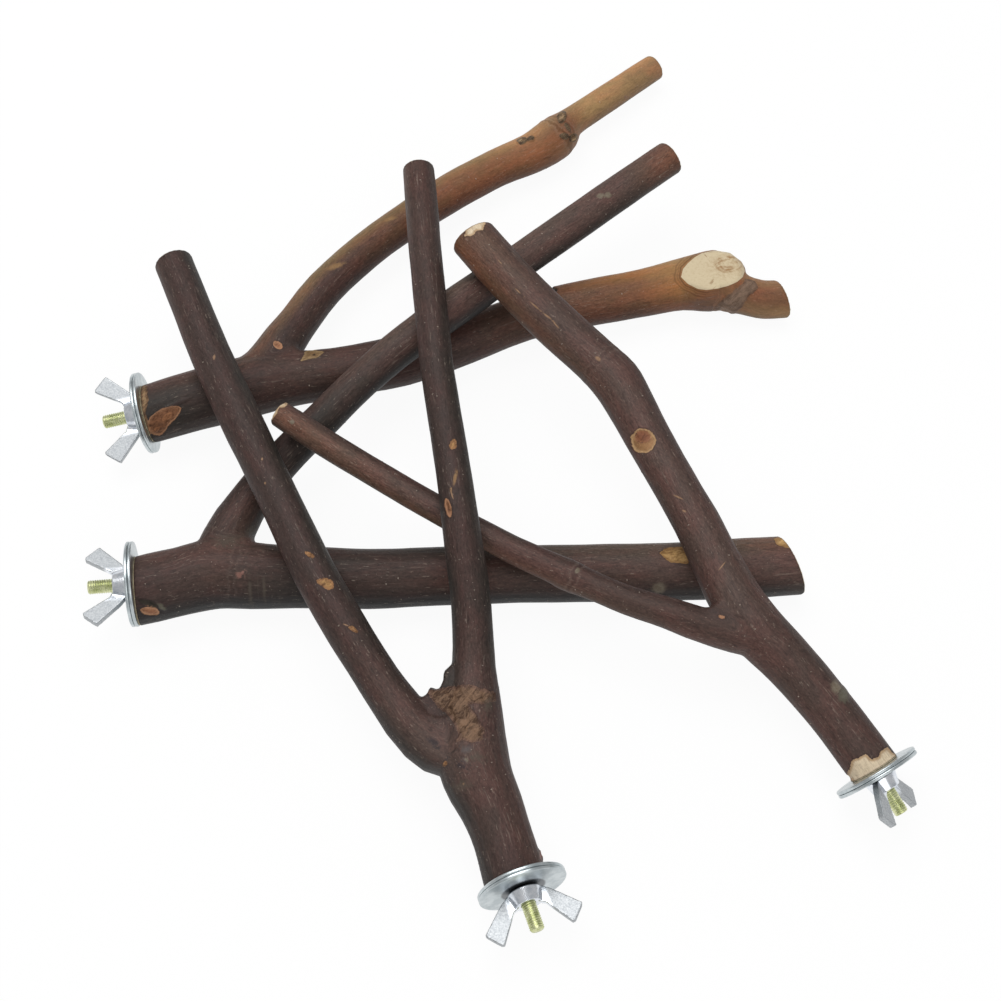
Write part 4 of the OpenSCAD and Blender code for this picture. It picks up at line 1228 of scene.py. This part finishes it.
def speckTree():
    # small flattened balls strewn over open bark, lying across the limb
    net, value, identifiers = newGrower(
        "lenticels", ("Density", "Smallest", "Largest", "Wide", "Flat"), ("Seed",))
    openBark = net.node("GeometryNodeInputNamedAttribute", {"data_type": "FLOAT"}, {"Name": "openBark"})
    way = net.node("GeometryNodeInputNamedAttribute", {"data_type": "FLOAT_VECTOR"}, {"Name": "limbWay"})
    strewn = net.node("GeometryNodeDistributePointsOnFaces", {"distribute_method": "RANDOM"}, {
        "Mesh": value["Geometry"], "Selection": net.maths("GREATER_THAN", openBark, 0.99),
        "Density": value["Density"], "Seed": value["Seed"]})
    standing = Wire(net, strewn.socket.node.outputs["Rotation"])
    lying = net.node("FunctionNodeAlignRotationToVector", {"axis": "Y", "pivot_axis": "Z"},
                     {"Rotation": standing, "Vector": way})
    size = net.node("FunctionNodeRandomValue", {"data_type": "FLOAT"},
                    {2: value["Smallest"], 3: value["Largest"], 8: value["Seed"]}, out=1)
    scale = net.node("ShaderNodeCombineXYZ", None, {
        "X": size * value["Wide"], "Y": size, "Z": size * value["Flat"]})
    ball = net.node("GeometryNodeMeshIcoSphere", None, {"Radius": 1.0, "Subdivisions": 1})
    placed = net.node("GeometryNodeInstanceOnPoints", None, {
        "Points": strewn, "Instance": ball, "Rotation": lying, "Scale": scale})
    finishGrower(net, placed, value["Finish"])
    return net.tree, identifiers


def speckLook(net):
    cloud = net.cloud(net.node("ShaderNodeTexCoord", out="Object"), 300.0, 3.0, 0.6)
    paleness = cloud.step(0.3, 0.7) * 0.35 + 0.15
    colour = net.blend(paleness, net.attribute("toneAndShade", out="Color"), shade(*specks["pale"]))
    return {"Base Color": colour, "Roughness": net.mottle(cloud, 0.5, 0.75)}


speckFinish = newFinish("lenticel", {"Specular IOR Level": barkLook["gloss"]}, speckLook)


def makeSpecks(name, tree, identifiers):
    piece = grown(name + "Specks", tree, identifiers, {
        "Density": specks["density"][name], "Seed": specks["seed"] + list(perches).index(name),
        "Smallest": specks["smallest"] * mm, "Largest": specks["largest"] * mm, "Wide": specks["wide"],
        "Flat": specks["flat"], "Finish": speckFinish}, branches[name].data)
    outwards(piece.data)
    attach(piece, name + "_perch")
    print("specks on", name, len(piece.data.polygons) // 20)  # each ball has 20 faces


def makeBolt(name, tree, identifiers):
    sizes = fastening
    length = sizes["boltTip"] - sizes["boltStart"]
    bolt = grown(name + "Bolt", tree, identifiers, {
        "Start": sizes["boltStart"] * mm, "Tip": sizes["boltTip"] * mm, "Crest": sizes["crest"] * mm,
        "Core": sizes["core"] * mm, "Pitch": sizes["pitch"] * mm, "Chamfer": sizes["chamfer"] * mm,
        "Rows": int(length / sizes["pitch"] * sizes["rowsPerPitch"]), "Around": sizes["around"],
        "Finish": boltFinish})
    bolt.data.transform(boltFrame(name))
    outwards(bolt.data)
    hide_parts(name + "_hanger_bolt")
    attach(bolt, name + "_perch")


def makeWasher(name, which, body):
    sizes = fastening
    low = sizes["washerPlaces"][which]
    high = low + sizes["washerThickness"]
    edge, inner, outer = sizes["washerEdge"], sizes["washerHole"], sizes["washerRadius"]
    outline, hem, bends, around = [], edge * 0.5, sizes["washerBends"], sizes["washerAround"]
    for cx, cz, bend, start in ((outer - edge, high - edge, edge, 90), (outer - edge, low + edge, edge, 0),
                                (inner + hem, low + hem, hem, -90), (inner + hem, high - hem, hem, -180)):
        for k in range(bends + 1):
            a = math.radians(start - k * 90 / bends)
            outline.append((cx + bend * math.cos(a), cz + bend * math.sin(a)))
    count = len(outline)
    turns = [2 * math.pi * i / around for i in range(around)]
    points = [(r * math.cos(turn), r * math.sin(turn), z) for turn in turns for r, z in outline]
    faces = [(i * count + k, i * count + (k + 1) % count, (i + 1) % around * count + (k + 1) % count,
              (i + 1) % around * count + k) for i in range(around) for k in range(count)]
    mesh = bpy.data.meshes.new(name + which.capitalize() + "Washer")
    mesh.from_pydata([tuple(c * mm for c in p) for p in points], [], faces)
    mesh.transform(boltFrame(name))
    outwards(mesh)
    storeNumber(mesh, "fromAxis", np.array([math.hypot(x, y) for x, y, _ in points]))
    mesh.materials.append(washerFinish)
    washer = newPiece(mesh.name, mesh)
    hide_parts(name + "_" + which + "_washer")
    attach(washer, name + body)


def makeWingNut(name):
    mesh = mergedCopy(name + "_wing_nut")
    nut = remeshed(name + "WingNut", mesh, fastening["nutVoxel"] * mm)
    relax(nut.data, fastening["nutSmoothing"], np.ones(len(nut.data.vertices)))
    local = boltFrame(name).inverted()
    points = vectorsOf(nut.data, "co") @ np.array(local.to_3x3()).T + np.array(local.translation)
    storeNumber(nut.data, "fromAxis", np.hypot(points[:, 0], points[:, 1]) / mm)
    smoothShaded(nut.data)
    nut.data.materials.append(nutFinish)
    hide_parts(name + "_wing_nut")
    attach(nut, name + "_nut")


branches = {name: makeBranch(name) for name in perches}
lenticelTree, lenticelInputs = speckTree()
for name in perches:
    makeSpecks(name, lenticelTree, lenticelInputs)
rodTree, rodInputs = threadTree()
for name in perches:
    makeBolt(name, rodTree, rodInputs)
    makeWasher(name, "inner", "_perch")
    makeWasher(name, "outer", "_clamp")
    makeWingNut(name)
    print("fastening", name, "ready")
